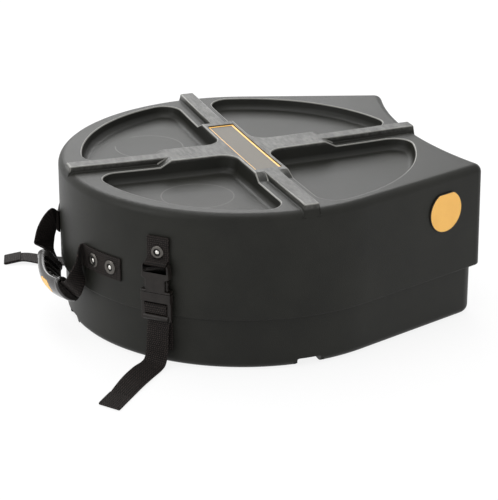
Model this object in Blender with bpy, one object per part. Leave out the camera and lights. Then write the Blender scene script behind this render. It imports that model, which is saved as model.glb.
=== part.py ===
"""Moulded drum case for a snare drum, closed by two strap buckles.

All lengths are in metres and all angles in degrees. The drum's axis is upright. +X runs from the
handle to the two feet that the case stands on when it is carried, and -Y is the side of the badge.
"""
import math

import bmesh
import bpy
from mathutils import Matrix, Vector

# Place of the drum's axis, which puts the middle of the whole footprint at the origin
AXIS_X = 0.0087
AXIS_Y = 0.0130

# Plan of the shells
RADIUS = 0.205
FOOT_REACH = 0.228
FOOT_HALF_WIDTH = 0.138
END_DIP = 0.024
LID_CORNER = 0.010
BASE_CORNER = 0.019

# Heights of the shells
RIM_HEIGHT = 0.1735
LID_EDGE_HEIGHT = 0.0577
RIB_HEIGHT = 0.0068
TOP_SAG = 0.003

# Walls
LID_WALL = 0.003
BASE_WALL = 0.0034
LID_FLARE = 0.0012
LID_ROUND = 0.009
BASE_RIM_DROP = 0.0025
BASE_ROUND = 0.008
BASE_INSET = 0.0036
BASE_STEP = 0.0012
STEP_RISE = 0.003
BASE_TAPER = 0.0004
GAP = 0.0003
OVERRUN = 0.002

# Pockets in the lid's top
POCKET_RADIUS = 0.190
POCKET_DEPTH = 0.0125
POCKET_FILLET = 0.003
POCKET_INNER_CORNER = 0.018
POCKET_OUTER_CORNER = 0.022
POCKET_DRAFT_SHARE = 0.1
BAND_HALF_WIDTH = 0.020
DISC_RADIUS = 0.039
DISC_HEIGHT = 0.0006
DISC_PLACE = 0.103

# Ribs and hub on the lid
RIB_HALF_WIDTH = 0.0079
RIB_DRAFT = 0.0012
RIB_END_DRAFT = 0.003
RIB_ROOT = 0.005
RIB_BACK_END = 0.2005
RIB_FRONT_END = 0.2010
RIB_SIDE_END = 0.2010
ARM_HALF_LENGTH = 0.090
HUB_HALF_LENGTH = 0.088
RAMP_LENGTH = 0.013
HUB_HALF_WIDTH = 0.026
HUB_CENTRE = 0.039
HUB_CORE_HALF_WIDTH = 0.0155

# Plates
LABEL_HALF_WIDTH = 0.015
LABEL_HALF_LENGTH = 0.0785
LABEL_DEPTH = 0.0024
LABEL_PLATE = 0.0008
BADGE_RADIUS = 0.0232
BADGE_FLAT = 0.0025
BADGE_THICKNESS = 0.0011
BADGE_FROM_CORNER = 0.059
BADGE_HEIGHT = 0.133

# Grooves under the base, which take the ribs of a case below
GROOVE_DEPTH = 0.008
GROOVE_HALF_WIDTH = 0.0125
GROOVE_DRAFT = 0.001
HUB_GROOVE_HALF_WIDTH = 0.0235
HUB_GROOVE_HALF_LENGTH = 0.108

# Foam
FLOOR_FOAM = 0.008
WALL_FOAM = 0.008
LID_FOAM = 0.006
LINER_TOP_GAP = 0.0024
LID_FOAM_MARGIN = 0.006
FLOOR_FOAM_MARGIN = 0.0017
RECESS_RADIUS = 0.009

# Webbing
WEB_WIDTH = 0.025
WEB = 0.0014
SEAT = 0.0005

# Rivets
RIVET_HEAD_RADIUS = 0.0064
RIVET_HEAD = 0.0014
RIVET_DIMPLE_RADIUS = 0.0026
RIVET_SHANK_RADIUS = 0.0023
RIVET_HOLE_RADIUS = 0.0027
RIVET_CLINCH_RADIUS = 0.0042
RIVET_CLINCH = 0.0004
WASHER_RADIUS = 0.0065
WASHER = 0.0006

# Buckles, by height above the floor and distance from the lid's wall
BUCKLE_ANGLE = 135.0
TAB_TOP = 0.144
LID_RIVET_HEIGHT = 0.1278
SOCKET_TOP = 0.1165
SOCKET_BAR = 0.0045
SOCKET_SLOT = 0.0042
SOCKET_BAR_FRONT = 0.0082
SOCKET_TOP_HALF = 0.0150
SOCKET_TOP_CORNER = 0.0025
SOCKET_SHOULDER_HALF = 0.0158
SOCKET_WAIST_HALF = 0.0112
SOCKET_MOUTH_HALF = 0.0170
WINDOW_TOP = 0.0998
WINDOW_BOTTOM = 0.0876
WINDOW_CHAMFER = 0.0018
SOCKET_MOUTH = 0.0852
SOCKET_BACK = 0.0022
SOCKET_FRONT = 0.0112
SOCKET_SKIN = 0.0020
SOCKET_CAVITY_HALF = 0.0124
SOCKET_EDGE = 0.0009
SLOT_HALF_WIDTH = 0.0132
PLUG_BACK = 0.0045
PLUG_FRONT = 0.0092
PLUG_HEAD_BACK = 0.0028
PLUG_HEAD_FRONT = 0.0106
PLUG_TOP = 0.0848
PLUG_NECK = 0.0745
PLUG_SLOT = 0.0055
PLUG_BAR = 0.0058
PLUG_LOWER_SLOT = 0.0037
PLUG_END_BAR = 0.0080
PLUG_EDGE = 0.0008
NOTCH_INNER_HALF = 0.0075
NOTCH_OUTER_HALF = 0.0130
NOTCH_DEPTH = 0.0058
TONGUE_HALF_WIDTH = 0.0016
TONGUE_TOP = 0.1000
TONGUE_HALF_THICKNESS = 0.0011
PRONG_INNER = 0.0088
PRONG_NECK = 0.0121
PRONG_PAD = 0.0140
PRONG_DISH = 0.0008
PRONG_FOOT = 0.0796
PRONG_SHOULDER = 0.0880
PRONG_PAD_TOP = 0.0965
PRONG_TIP = 0.1025
PRONG_TIP_HALF = 0.0106
PRONG_HALF_THICKNESS = 0.0020
PRONG_PIVOT_HEIGHT = 0.0802

# Base strap, from its rivet up through the plug's ladder and down to its tail
STRAP_RIVET_HEIGHT = 0.030
STRAP_LOW_END = 0.017

# Handle
TAB_START_ANGLE = 148.4
TAB_END_ANGLE = 165.6
HANDLE_RIVET_ANGLES = (152.4, 160.0)
TAB_HEIGHT = 0.0965
BACKING = 0.0007
BACKING_HALF_HEIGHT = 0.009
BACKING_MARGIN_ANGLE = 2.6
GRIP_HALF_LENGTH = 0.0445
GRIP_BOW = 0.010
GRIP_X = -0.2310
GRIP_HEIGHT = 0.0570
GRIP_TILT = 40.0
GRIP_HALF_WIDTH = 0.0165
GRIP_OUTER = 0.0095
GRIP_INNER = 0.0065
GRIP_BORE_HALF_WIDTH = 0.0142
GRIP_BORE_HALF_THICKNESS = 0.0012
GRIP_MOUTH_FLARE = 0.0012
GRIP_LIP = 0.0012
GRIP_WINDOW_HALF_WIDTH = 0.0105
GRIP_WINDOW_LENGTH = 0.009
GRIP_WINDOW_PITCH = 0.0125
# Handle webbing, by place, width direction and width: from each tab to the bend that it swings
# on, and from there to the grip
NEAR_ROOT = (
    (-0.2032, -0.0503, 0.0958, -0.05, 0.10, 0.99, 0.0240),
    (-0.2062, -0.0512, 0.0925, -0.15, 0.50, 0.80, 0.0195),
    (-0.2080, -0.0536, 0.0858, 0.00, 1.00, 0.00, 0.0150),
)
NEAR_TURN = (
    (-0.2080, -0.0540, 0.0849, 0.00, 1.00, 0.00, 0.0150),
    (-0.2092, -0.0568, 0.0790, -0.45, 0.80, 0.10, 0.0190),
    (-0.2122, -0.0600, 0.0725, -0.85, 0.40, 0.25, 0.0240),
    (-0.2146, -0.0614, 0.0665, -0.88, 0.10, 0.45, 0.0250),
    (-0.2163, -0.0606, 0.0610, -0.82, 0.00, 0.56, 0.0250),
    (-0.2174, -0.0562, 0.0576, -0.70, 0.00, 0.70, 0.0250),
)
FAR_ROOT = (
    (-0.2030, 0.0503, 0.0990, 0.00, -0.05, 0.99, 0.0250),
    (-0.2065, 0.0510, 0.1008, -0.10, -0.30, 0.94, 0.0240),
    (-0.2092, 0.0530, 0.0965, -0.10, -0.75, 0.60, 0.0190),
    (-0.2080, 0.0545, 0.0858, 0.00, -1.00, 0.00, 0.0150),
)
FAR_TURN = (
    (-0.2080, 0.0548, 0.0849, 0.00, -1.00, 0.00, 0.0150),
    (-0.2094, 0.0572, 0.0790, -0.45, -0.80, 0.10, 0.0190),
    (-0.2124, 0.0600, 0.0725, -0.85, -0.40, 0.25, 0.0240),
    (-0.2148, 0.0614, 0.0665, -0.88, -0.10, 0.45, 0.0250),
    (-0.2165, 0.0606, 0.0610, -0.82, 0.00, 0.56, 0.0250),
    (-0.2175, 0.0562, 0.0576, -0.70, 0.00, 0.70, 0.0250),
)
GRIP_ENTRY_SHARES = (1.15, 1.0, 0.88)
INSET_HALF_WIDTH = 0.0075
INSET_HALF_LENGTH = 0.016
INSET_DEPTH = 0.0014
INSET_PLAN = ((-1.0, 0.55), (-0.8, 0.85), (-0.5, 1.0), (0.0, 1.0), (0.5, 1.0), (0.8, 0.85),
              (1.0, 0.55))
INSET_THICKNESS = 0.0012

# Facets
CIRCLE_STEPS = 26
END_STEPS = 6
CORNER_STEPS = 4
ROUND_STEPS = 4
POCKET_ARC_STEPS = 18
POCKET_CORNER_STEPS = 5
RIVET_SIDES = 14
HOLE_SIDES = 12
FOAM_SIDES = 64
DISC_SIDES = 32
SAG_CUT_SHARES = (-0.66, -0.33, 0.0, 0.33, 0.66)
MERGE = 0.00001

# Free tails of the base straps, by distance across, out and above the floor, and the roll or
# turn of each place
NEAR_TAIL_PLACES = (
    (-0.0010, 0.0036, 0.0400), (-0.0020, 0.0040, 0.0240), (-0.0026, 0.0048, 0.0140),
    (-0.0029, 0.0084, 0.0062), (-0.0030, 0.0170, 0.0042), (-0.0030, 0.0340, 0.0050),
    (-0.0030, 0.0560, 0.0044), (-0.0030, 0.0760, 0.0024),
)
NEAR_TAIL_ROLL_ANGLES = (0.0, 0.0, -2.0, -6.0, -9.0, -14.0, -12.0, -5.0)
NEAR_TAIL_TIP = ((-0.0030, 0.0900), (-0.0030, 0.1090), (-0.0030, 0.1116), (-0.0030, 0.1090),
                 (-0.0030, 0.0860))
FAR_TAIL_PLACES = (
    (0.0010, 0.0036, 0.0400), (0.0016, 0.0040, 0.0240), (0.0022, 0.0048, 0.0140),
    (0.0030, 0.0084, 0.0062), (0.0045, 0.0170, 0.0034), (0.0085, 0.0360, 0.0018),
    (0.0130, 0.0540, 0.0024), (0.0172, 0.0685, 0.0042), (0.0206, 0.0770, 0.0044),
    (0.0252, 0.0850, 0.0030),
)
FAR_TAIL_TURN_ANGLES = (0.0, 0.0, 0.0, -6.0, -10.0, -13.0, -16.0, -22.0, -28.0, -31.0)
FAR_TAIL_TIP = ((0.0300, 0.0930), (0.0312, 0.0950), (0.0300, 0.0930))
FAR_TAIL_LAPS = ((0.0252, 0.0850, 0.0030), (0.0214, 0.0786, 0.0044))
FAR_TAIL_LAP_TURN_ANGLES = (-31.0, -29.0)

RIB_TOP = RIM_HEIGHT + RIB_HEIGHT
POCKET_FLOOR = RIM_HEIGHT - POCKET_DEPTH
BASE_TOP = RIM_HEIGHT - LID_WALL - BASE_RIM_DROP
FLOOR_RIDGE_TOP = GROOVE_DEPTH + BASE_WALL
LID_FOAM_TOP = POCKET_FLOOR - LID_WALL - 2 * GAP
LID_FOAM_RADIUS = POCKET_RADIUS - LID_FOAM_MARGIN
FOAM_TOP_HEIGHT = LID_FOAM_TOP - LID_FOAM - LINER_TOP_GAP
LINER_INSET = BASE_INSET + BASE_STEP + BASE_TAPER + BASE_WALL + GAP
FLOOR_FOAM_RADIUS = RADIUS - LINER_INSET - WALL_FOAM - FLOOR_FOAM_MARGIN
UP = Vector((0, 0, 1))


# Materials

def plastic(name, colour, roughness, metallic=0.0):
    """A Principled material with one colour, roughness and metallic value."""
    material = bpy.data.materials.new(name)
    material.use_nodes = True
    shader = material.node_tree.nodes["Principled BSDF"]
    shader.inputs["Base Color"].default_value = (*colour, 1.0)
    shader.inputs["Roughness"].default_value = roughness
    shader.inputs["Metallic"].default_value = metallic
    material.diffuse_color = (*colour, 1.0)
    return material


def make_materials():
    """Every finish of the case, by name."""
    return {
        "shell": plastic("black_moulding", (0.012, 0.012, 0.013), 0.45),
        "foam": plastic("grey_foam", (0.05, 0.05, 0.055), 0.95),
        "web": plastic("brown_black_webbing", (0.022, 0.017, 0.015), 0.85),
        "buckle": plastic("satin_black_nylon", (0.018, 0.016, 0.015), 0.35),
        "grip": plastic("grip_plastic", (0.015, 0.014, 0.014), 0.3),
        "nickel": plastic("nickel", (0.62, 0.60, 0.57), 0.25, 1.0),
        "label": plastic("bronze_label", (0.10, 0.075, 0.035), 0.4, 0.4),
        "gold": plastic("gold_sheet", (0.88, 0.46, 0.10), 0.4),
    }


# Meshes

def add_object(name, mesh, material):
    """A new object for a mesh, with its material."""
    shape = bpy.data.objects.new(name, mesh)
    if material is not None:
        mesh.materials.append(material)
    bpy.context.scene.collection.objects.link(shape)
    return shape


def loft(name, rings, material=None):
    """A closed solid through rings of points, one above the other, with flat caps."""
    mesh = bpy.data.meshes.new(name)
    solid = bmesh.new()
    rows = [[solid.verts.new(point) for point in ring] for ring in rings]
    count = len(rings[0])
    for low, high in zip(rows, rows[1:]):
        for i in range(count):
            j = (i + 1) % count
            solid.faces.new((low[i], low[j], high[j], high[i]))
    solid.faces.new(list(reversed(rows[0])))
    solid.faces.new(rows[-1])
    bmesh.ops.recalc_face_normals(solid, faces=solid.faces)
    solid.to_mesh(mesh)
    solid.free()
    mesh.shade_smooth()
    mesh.set_sharp_from_angle(angle=math.radians(35))
    return add_object(name, mesh, material)


def combine(shape, others, operation):
    """Cut or join other solids with a solid, and keep the result as its mesh."""
    for other in others:
        step = shape.modifiers.new(other.name, "BOOLEAN")
        step.operation = operation
        step.solver = "EXACT"
        step.object = other
        other.hide_render = True
        other.display_type = "WIRE"
    depsgraph = bpy.context.evaluated_depsgraph_get()
    made = bpy.data.meshes.new_from_object(shape.evaluated_get(depsgraph))
    shape.modifiers.clear()
    shape.data = made
    for other in others:
        bpy.data.objects.remove(other)
    made.shade_smooth()
    made.set_sharp_from_angle(angle=math.radians(35))


def cut(shape, *cutters):
    """Take other solids out of a solid."""
    combine(shape, cutters, "DIFFERENCE")


def fuse(shape, *others):
    """Join other solids to a solid."""
    combine(shape, others, "UNION")


def frustum(name, low_size, high_size, low, high, middle=(0.0, 0.0), material=None):
    """A block with upright ends whose half sizes change from its low to its high face."""
    rings = []
    for (half_x, half_y), level in ((low_size, low), (high_size, high)):
        corners = ((1, 1), (-1, 1), (-1, -1), (1, -1))
        ring = [(middle[0] + sx * half_x, middle[1] + sy * half_y, level) for sx, sy in corners]
        rings.append(ring)
    return loft(name, rings, material)


def disc(name, radius, low, high, sides, middle=(0.0, 0.0), material=None):
    """A flat round slab."""
    rings = []
    for level in (low, high):
        ring = []
        for i in range(sides):
            turn = math.tau * i / sides
            x = middle[0] + radius * math.cos(turn)
            ring.append((x, middle[1] + radius * math.sin(turn), level))
        rings.append(ring)
    return loft(name, rings, material)


def turned(name, profile, start, direction, sides, material=None):
    """A turned solid: radii at distances along a direction from a start point."""
    turn_to = direction.to_track_quat("Z", "Y").to_matrix()
    rings = []
    for radius, distance in profile:
        ring = []
        for i in range(sides):
            turn = math.tau * i / sides
            spoke = Vector((radius * math.cos(turn), radius * math.sin(turn), distance))
            ring.append(start + turn_to @ spoke)
        rings.append(ring)
    return loft(name, rings, material)


def arc(middle, radius, start, end, steps):
    """Points of an arc, from one angle in radians to another, both ends included."""
    points = []
    for i in range(steps + 1):
        turn = start + (end - start) * i / steps
        points.append(Vector((middle[0] + radius * math.cos(turn),
                              middle[1] + radius * math.sin(turn))))
    return points


# Plan outlines

def case_outline(inset, corner):
    """The case's plan moved in by an inset: a circle whose flanks run on to two feet."""
    reach = math.hypot(FOOT_REACH, FOOT_HALF_WIDTH)
    flank = math.atan2(FOOT_HALF_WIDTH, FOOT_REACH) + math.acos(RADIUS / reach)
    normal = Vector((math.cos(flank), math.sin(flank)))
    along = Vector((math.sin(flank), -math.cos(flank)))
    end_radius = (FOOT_HALF_WIDTH ** 2 + END_DIP ** 2) / (2 * END_DIP)
    end_middle = Vector((FOOT_REACH - END_DIP + end_radius, 0))
    # The corner's round touches the flank and the hollow end, so its middle follows both
    seat = normal * (RADIUS - inset - corner)
    far = end_radius + inset + corner
    across = along.dot(seat - end_middle)
    travel = -across - math.sqrt(across ** 2 - (seat - end_middle).length_squared + far ** 2)
    corner_middle = seat + along * travel
    to_end = end_middle - corner_middle
    end_turn = math.atan2(corner_middle.y, corner_middle.x - end_middle.x)
    upper = arc(end_middle, end_radius + inset, math.pi, end_turn, END_STEPS)
    upper += arc(corner_middle, corner, math.atan2(to_end.y, to_end.x), flank, CORNER_STEPS)[1:]
    upper += arc((0, 0), RADIUS - inset, flank, math.pi, CIRCLE_STEPS)
    lower = [Vector((point.x, -point.y)) for point in reversed(upper[1:-1])]
    return upper + lower


def shell_rings(levels):
    """Rings of the case's plan for each height, inset and corner radius."""
    rings = []
    for level, inset, corner in levels:
        rings.append([(point.x, point.y, level) for point in case_outline(inset, corner)])
    return rings


def pocket_outline(side_x, side_y, inset):
    """One pocket's plan, moved in by an inset: a quarter of a disc with round corners."""
    edge = BAND_HALF_WIDTH + inset
    inner = BAND_HALF_WIDTH + POCKET_INNER_CORNER
    near = BAND_HALF_WIDTH + POCKET_OUTER_CORNER
    far = math.sqrt((POCKET_RADIUS - POCKET_OUTER_CORNER) ** 2 - near ** 2)
    swing = math.atan2(near, far)
    quarter = math.pi / 2
    points = arc((inner, inner), inner - edge, math.pi, 3 * quarter, POCKET_CORNER_STEPS)
    points += arc((far, near), near - edge, -quarter, swing, POCKET_CORNER_STEPS)
    points += arc((0, 0), POCKET_RADIUS - inset, swing, quarter - swing, POCKET_ARC_STEPS)[1:-1]
    points += arc((near, far), near - edge, quarter - swing, math.pi, POCKET_CORNER_STEPS)
    return [(side_x * point.x, side_y * point.y) for point in points]


def pocket_solid(name, side_x, side_y, levels):
    """A solid with a pocket's plan at each height and inset."""
    rings = []
    for level, inset in levels:
        outline = pocket_outline(side_x, side_y, inset)
        rings.append([(x, y, level) for x, y in outline])
    return loft(name, rings)


def pocket_inset(level):
    """How far a pocket's wall leans in at a height."""
    return (RIM_HEIGHT - level) * POCKET_DRAFT_SHARE


# Places on the wall

def lid_radius(level):
    """Outer radius of the lid's wall at a height, kept below its lower edge."""
    top = RIM_HEIGHT - LID_ROUND
    share = (top - max(level, LID_EDGE_HEIGHT)) / (top - LID_EDGE_HEIGHT)
    return RADIUS + LID_FLARE * max(share, 0.0)


def outward(angle):
    """The direction that points out of the wall at an angle."""
    turn = math.radians(angle)
    return Vector((math.cos(turn), math.sin(turn), 0))


def sideways(angle):
    """The direction that runs round the wall at an angle."""
    turn = math.radians(angle)
    return Vector((-math.sin(turn), math.cos(turn), 0))


def wall_direction(angle, turn):
    """A level direction turned outward from the one that runs round the wall."""
    swing = math.radians(turn)
    return sideways(angle) * math.cos(swing) + outward(angle) * math.sin(swing)


def wall_point(angle, across, out, level):
    """A point by its distance across, out from the lid's wall, and above the floor."""
    radius = lid_radius(level) + out
    return outward(angle) * radius + sideways(angle) * across + UP * level


def wall_plate(name, angle, outline, back, front, edge=0.0, material=None):
    """A plate on the wall: an outline of (across, height) between two distances, with its
    front and back edges drawn in."""
    xs = [across for across, _ in outline]
    heights = [level for _, level in outline]
    middle_x = (min(xs) + max(xs)) / 2
    middle_z = (min(heights) + max(heights)) / 2
    share_x = 1 - 2 * edge / (max(xs) - min(xs))
    share_z = 1 - 2 * edge / (max(heights) - min(heights))
    rings = []
    layers = [(back, edge), (back + edge, 0.0), (front - edge, 0.0), (front, edge)]
    if edge == 0.0:
        layers = [(back, 0.0), (front, 0.0)]
    for out, drawn in layers:
        ring = []
        for across, level in outline:
            if drawn:
                across = middle_x + (across - middle_x) * share_x
                level = middle_z + (level - middle_z) * share_z
            ring.append(wall_point(angle, across, out, level))
        rings.append(ring)
    return loft(name, rings, material)


def box_outline(half, low, high):
    """A rectangle as (across, height) points."""
    return [(half, low), (half, high), (-half, high), (-half, low)]


# Webbing

def smooth_route(points, steps):
    """Points of a smooth curve through all the given tuples of numbers."""
    ends = [points[0], *points, points[-1]]
    route = []
    for before, start, end, after in zip(ends, ends[1:], ends[2:], ends[3:]):
        for i in range(steps):
            t = i / steps
            at = []
            for a, b, c, d in zip(before, start, end, after):
                bend = (2 * a - 5 * b + 4 * c - d) * t ** 2 + (3 * b - a - 3 * c + d) * t ** 3
                at.append(b + (c - a) * t / 2 + bend / 2)
            route.append(tuple(at))
    route.append(tuple(points[-1]))
    return route


def webbing(name, centres, widths, material, width=WEB_WIDTH, thickness=WEB):
    """A flat strap along centres, whose width points in the given directions."""
    return tapered_webbing(name, centres, widths, [width] * len(centres), material, thickness)


def tapered_webbing(name, centres, widths, sizes, material, thickness=WEB):
    """A flat strap along centres, gathered or spread to a size at each of them."""
    rings = []
    for i, centre in enumerate(centres):
        before = centres[max(i - 1, 0)]
        after = centres[min(i + 1, len(centres) - 1)]
        along = (after - before).normalized()
        side = widths[i].normalized()
        normal = along.cross(side).normalized()
        half_side = side * (sizes[i] / 2)
        half_normal = normal * (thickness / 2)
        rings.append([centre + half_side + half_normal, centre - half_side + half_normal,
                      centre - half_side - half_normal, centre + half_side - half_normal])
    return loft(name, rings, material)


def routed_webbing(name, rows, steps, material):
    """A strap along rows of place, width direction and width."""
    route = smooth_route(rows, steps)
    centres = [Vector(row[:3]) for row in route]
    widths = [Vector(row[3:6]) for row in route]
    return tapered_webbing(name, centres, widths, [row[6] for row in route], material)


def wall_webbing(name, angle, route, steps, material):
    """A strap by (across, out, height) along its route, with roll and turn where it has them."""
    rows = [(*row, 0.0, 0.0)[:5] for row in route]
    centres = []
    widths = []
    for across, out, level, roll, turn in smooth_route(rows, steps):
        centres.append(wall_point(angle, across, out, level))
        flat = wall_direction(angle, turn)
        tilt = math.radians(roll)
        widths.append(flat * math.cos(tilt) + UP * math.sin(tilt))
    return webbing(name, centres, widths, material)


# Rivets

def rivet(name, angle, level, head_out, clinch_out, material):
    """A hollow-headed rivet through the wall, from its head outside to its clinched end."""
    profile = [
        (RIVET_CLINCH_RADIUS, clinch_out - RIVET_CLINCH),
        (RIVET_CLINCH_RADIUS, clinch_out),
        (RIVET_SHANK_RADIUS, clinch_out),
        (RIVET_SHANK_RADIUS, head_out),
        (RIVET_HEAD_RADIUS, head_out),
        (RIVET_HEAD_RADIUS, head_out + RIVET_HEAD * 0.4),
        (RIVET_HEAD_RADIUS - RIVET_HEAD, head_out + RIVET_HEAD),
        (RIVET_DIMPLE_RADIUS, head_out + RIVET_HEAD),
        (RIVET_DIMPLE_RADIUS / 2, head_out + RIVET_HEAD / 3),
    ]
    start = wall_point(angle, 0.0, 0.0, level)
    return turned(name, profile, start, outward(angle), RIVET_SIDES, material)


def rivet_hole(angle, level, low_out, high_out, radius=RIVET_HOLE_RADIUS):
    """A cutter for a rivet's hole, between two distances from the lid's wall."""
    profile = [(radius, low_out), (radius, high_out)]
    start = wall_point(angle, 0.0, 0.0, level)
    return turned("rivet_hole", profile, start, outward(angle), HOLE_SIDES)


def washer(name, angle, level, face_out, material):
    """A washer whose outer face lies at a distance from the lid's wall."""
    profile = [(WASHER_RADIUS, face_out - WASHER), (WASHER_RADIUS, face_out)]
    start = wall_point(angle, 0.0, 0.0, level)
    ring = turned(name, profile, start, outward(angle), RIVET_SIDES, material)
    cut(ring, rivet_hole(angle, level, face_out - WASHER - OVERRUN, face_out + OVERRUN))
    return ring


# Lid

def sag(level_x, level_y):
    """How far the lid's top has sunk at a place."""
    share = (level_x ** 2 + level_y ** 2) / POCKET_RADIUS ** 2
    return TOP_SAG * max(1 - share, 0.0)


def sink_top(shape, lowest):
    """Let everything above a height follow the sunken top, with enough points to bend."""
    mesh = shape.data
    solid = bmesh.new()
    solid.from_mesh(mesh)
    for share in SAG_CUT_SHARES:
        for axis in (Vector((1, 0, 0)), Vector((0, 1, 0))):
            high = [face for face in solid.faces if face.calc_center_median().z > lowest]
            edges = {edge for face in high for edge in face.edges}
            verts = {vert for face in high for vert in face.verts}
            geometry = [*high, *edges, *verts]
            place = axis * (POCKET_RADIUS * share)
            bmesh.ops.bisect_plane(solid, geom=geometry, dist=MERGE, plane_co=place, plane_no=axis)
    bmesh.ops.triangulate(solid, faces=solid.faces)
    for vert in solid.verts:
        if vert.co.z > lowest:
            vert.co.z -= sag(vert.co.x, vert.co.y)
    solid.to_mesh(mesh)
    solid.free()
    mesh.shade_smooth()
    mesh.set_sharp_from_angle(angle=math.radians(35))


def rounded_levels(top, radius, inset, corner, steps):
    """Heights and insets of a top edge rounded over from a wall."""
    levels = []
    for i in range(steps + 1):
        turn = math.pi / 2 * i / steps
        drawn = radius * (1 - math.cos(turn))
        level = top - radius * (1 - math.sin(turn))
        levels.append((level, inset + drawn, max(corner - drawn, LID_WALL / 3)))
    return levels


def make_lid(materials):
    """The lid: a deep skirt, a rim, four pockets, and a cross of ribs with a wide hub."""
    outer = [(LID_EDGE_HEIGHT, -LID_FLARE, LID_CORNER + LID_FLARE)]
    outer += rounded_levels(RIM_HEIGHT, LID_ROUND, 0.0, LID_CORNER, ROUND_STEPS)
    lid = loft("lid_shell", shell_rings(outer), materials["shell"])
    inner_corner = LID_CORNER - LID_WALL
    below = LID_EDGE_HEIGHT - OVERRUN
    inner = [(below, LID_WALL - LID_FLARE, inner_corner + LID_FLARE)]
    inner += rounded_levels(RIM_HEIGHT - LID_WALL, LID_ROUND - LID_WALL, LID_WALL,
                            inner_corner, ROUND_STEPS)
    cut(lid, loft("lid_hollow", shell_rings(inner)))
    fuse(lid, *rib_blocks(), *hub_blocks())
    fuse(lid, *[pocket_boss(sx, sy) for sx in (1, -1) for sy in (1, -1)])
    cut(lid, *[pocket_cutter(sx, sy) for sx in (1, -1) for sy in (1, -1)])
    cut(lid, *hub_cores())
    fuse(lid, *[pocket_disc(sx, sy) for sx in (1, -1) for sy in (1, -1)])
    label_half = (LABEL_HALF_WIDTH + GAP, LABEL_HALF_LENGTH + GAP)
    label_floor = RIB_TOP - LABEL_DEPTH
    cut(lid, frustum("label_recess", label_half, label_half, label_floor, RIB_TOP + OVERRUN))
    holes = []
    for side in (-1, 1):
        places = [(BUCKLE_ANGLE, LID_RIVET_HEIGHT)]
        places += [(angle, TAB_HEIGHT) for angle in HANDLE_RIVET_ANGLES]
        for angle, level in places:
            holes.append(rivet_hole(side * angle, level, -2 * LID_WALL, LID_WALL))
    cut(lid, *holes)
    sink_top(lid, POCKET_FLOOR - LID_WALL - OVERRUN)
    return lid


def rib_blocks():
    """The two narrow ribs that cross the whole lid."""
    root = RIM_HEIGHT - RIB_ROOT
    middle = (RIB_FRONT_END - RIB_BACK_END) / 2
    half_x = (RIB_FRONT_END + RIB_BACK_END) / 2
    wide = RIB_HALF_WIDTH + RIB_DRAFT
    along_x = frustum("rib_x", (half_x + RIB_END_DRAFT, wide), (half_x, RIB_HALF_WIDTH),
                      root, RIB_TOP, (middle, 0.0))
    along_y = frustum("rib_y", (wide, RIB_SIDE_END + RIB_END_DRAFT),
                      (RIB_HALF_WIDTH, RIB_SIDE_END), root, RIB_TOP)
    return along_x, along_y


def hub_blocks():
    """The wide hub, whose arms run down to the ribs' ledges by ramps."""
    foot = RIM_HEIGHT - OVERRUN
    ramp = RAMP_LENGTH * (RIB_HEIGHT + OVERRUN) / RIB_HEIGHT
    arms = frustum("hub_arms", (ARM_HALF_LENGTH + ramp, HUB_HALF_WIDTH),
                   (ARM_HALF_LENGTH, HUB_HALF_WIDTH), foot, RIB_TOP)
    platform = frustum("hub_platform", (HUB_HALF_WIDTH, HUB_HALF_LENGTH + ramp),
                       (HUB_HALF_WIDTH, HUB_HALF_LENGTH), foot, RIB_TOP)
    centre = frustum("hub_centre", (HUB_CENTRE, HUB_CENTRE), (HUB_CENTRE, HUB_CENTRE),
                     foot, RIB_TOP)
    return arms, platform, centre


def hub_cores():
    """The hollows under the hub, which keep its wall as thin as the rest."""
    roof = RIB_TOP - LABEL_DEPTH - LID_WALL
    floor = RIM_HEIGHT - LID_WALL - OVERRUN
    cores = []
    for half_x, half_y in ((ARM_HALF_LENGTH, HUB_CORE_HALF_WIDTH),
                           (HUB_CORE_HALF_WIDTH, HUB_HALF_LENGTH)):
        short = (half_x - LID_WALL, half_y - LID_WALL)
        cores.append(frustum("hub_core", (half_x, half_y), short, floor, roof))
    return cores


def pocket_levels(thickness):
    """Heights and insets of a pocket's wall and floor, moved out by a thickness."""
    levels = []
    floor = POCKET_FLOOR - thickness
    for i in range(ROUND_STEPS):
        turn = math.pi / 2 * i / (ROUND_STEPS - 1)
        level = floor + POCKET_FILLET * (1 - math.cos(turn))
        drawn = POCKET_FILLET * (1 - math.sin(turn))
        levels.append((level, pocket_inset(POCKET_FLOOR) - thickness + drawn))
    return levels


def pocket_boss(side_x, side_y):
    """The solid that carries a pocket's wall and floor on the inside."""
    levels = pocket_levels(LID_WALL)
    levels.append((RIM_HEIGHT - LID_WALL / 2, pocket_inset(RIM_HEIGHT) - LID_WALL))
    return pocket_solid("pocket_boss", side_x, side_y, levels)


def pocket_cutter(side_x, side_y):
    """The space of a pocket, which also trims the hub's sides."""
    levels = pocket_levels(0.0)
    top = RIB_TOP + OVERRUN
    levels.append((top, pocket_inset(top)))
    return pocket_solid("pocket", side_x, side_y, levels)


def pocket_disc(side_x, side_y):
    """The low round pad on a pocket's floor."""
    reach = DISC_PLACE / math.sqrt(2)
    low = POCKET_FLOOR - LID_WALL / 2
    return disc("pocket_disc", DISC_RADIUS, low, POCKET_FLOOR + DISC_HEIGHT, DISC_SIDES,
                (side_x * reach, side_y * reach))


def make_label(materials):
    """The plate in the hub's recess."""
    low = RIB_TOP - LABEL_DEPTH + GAP + MERGE
    half = (LABEL_HALF_WIDTH, LABEL_HALF_LENGTH)
    plate = frustum("name_plate", half, half, low, low + LABEL_PLATE, material=materials["label"])
    sink_top(plate, 0.0)


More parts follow.
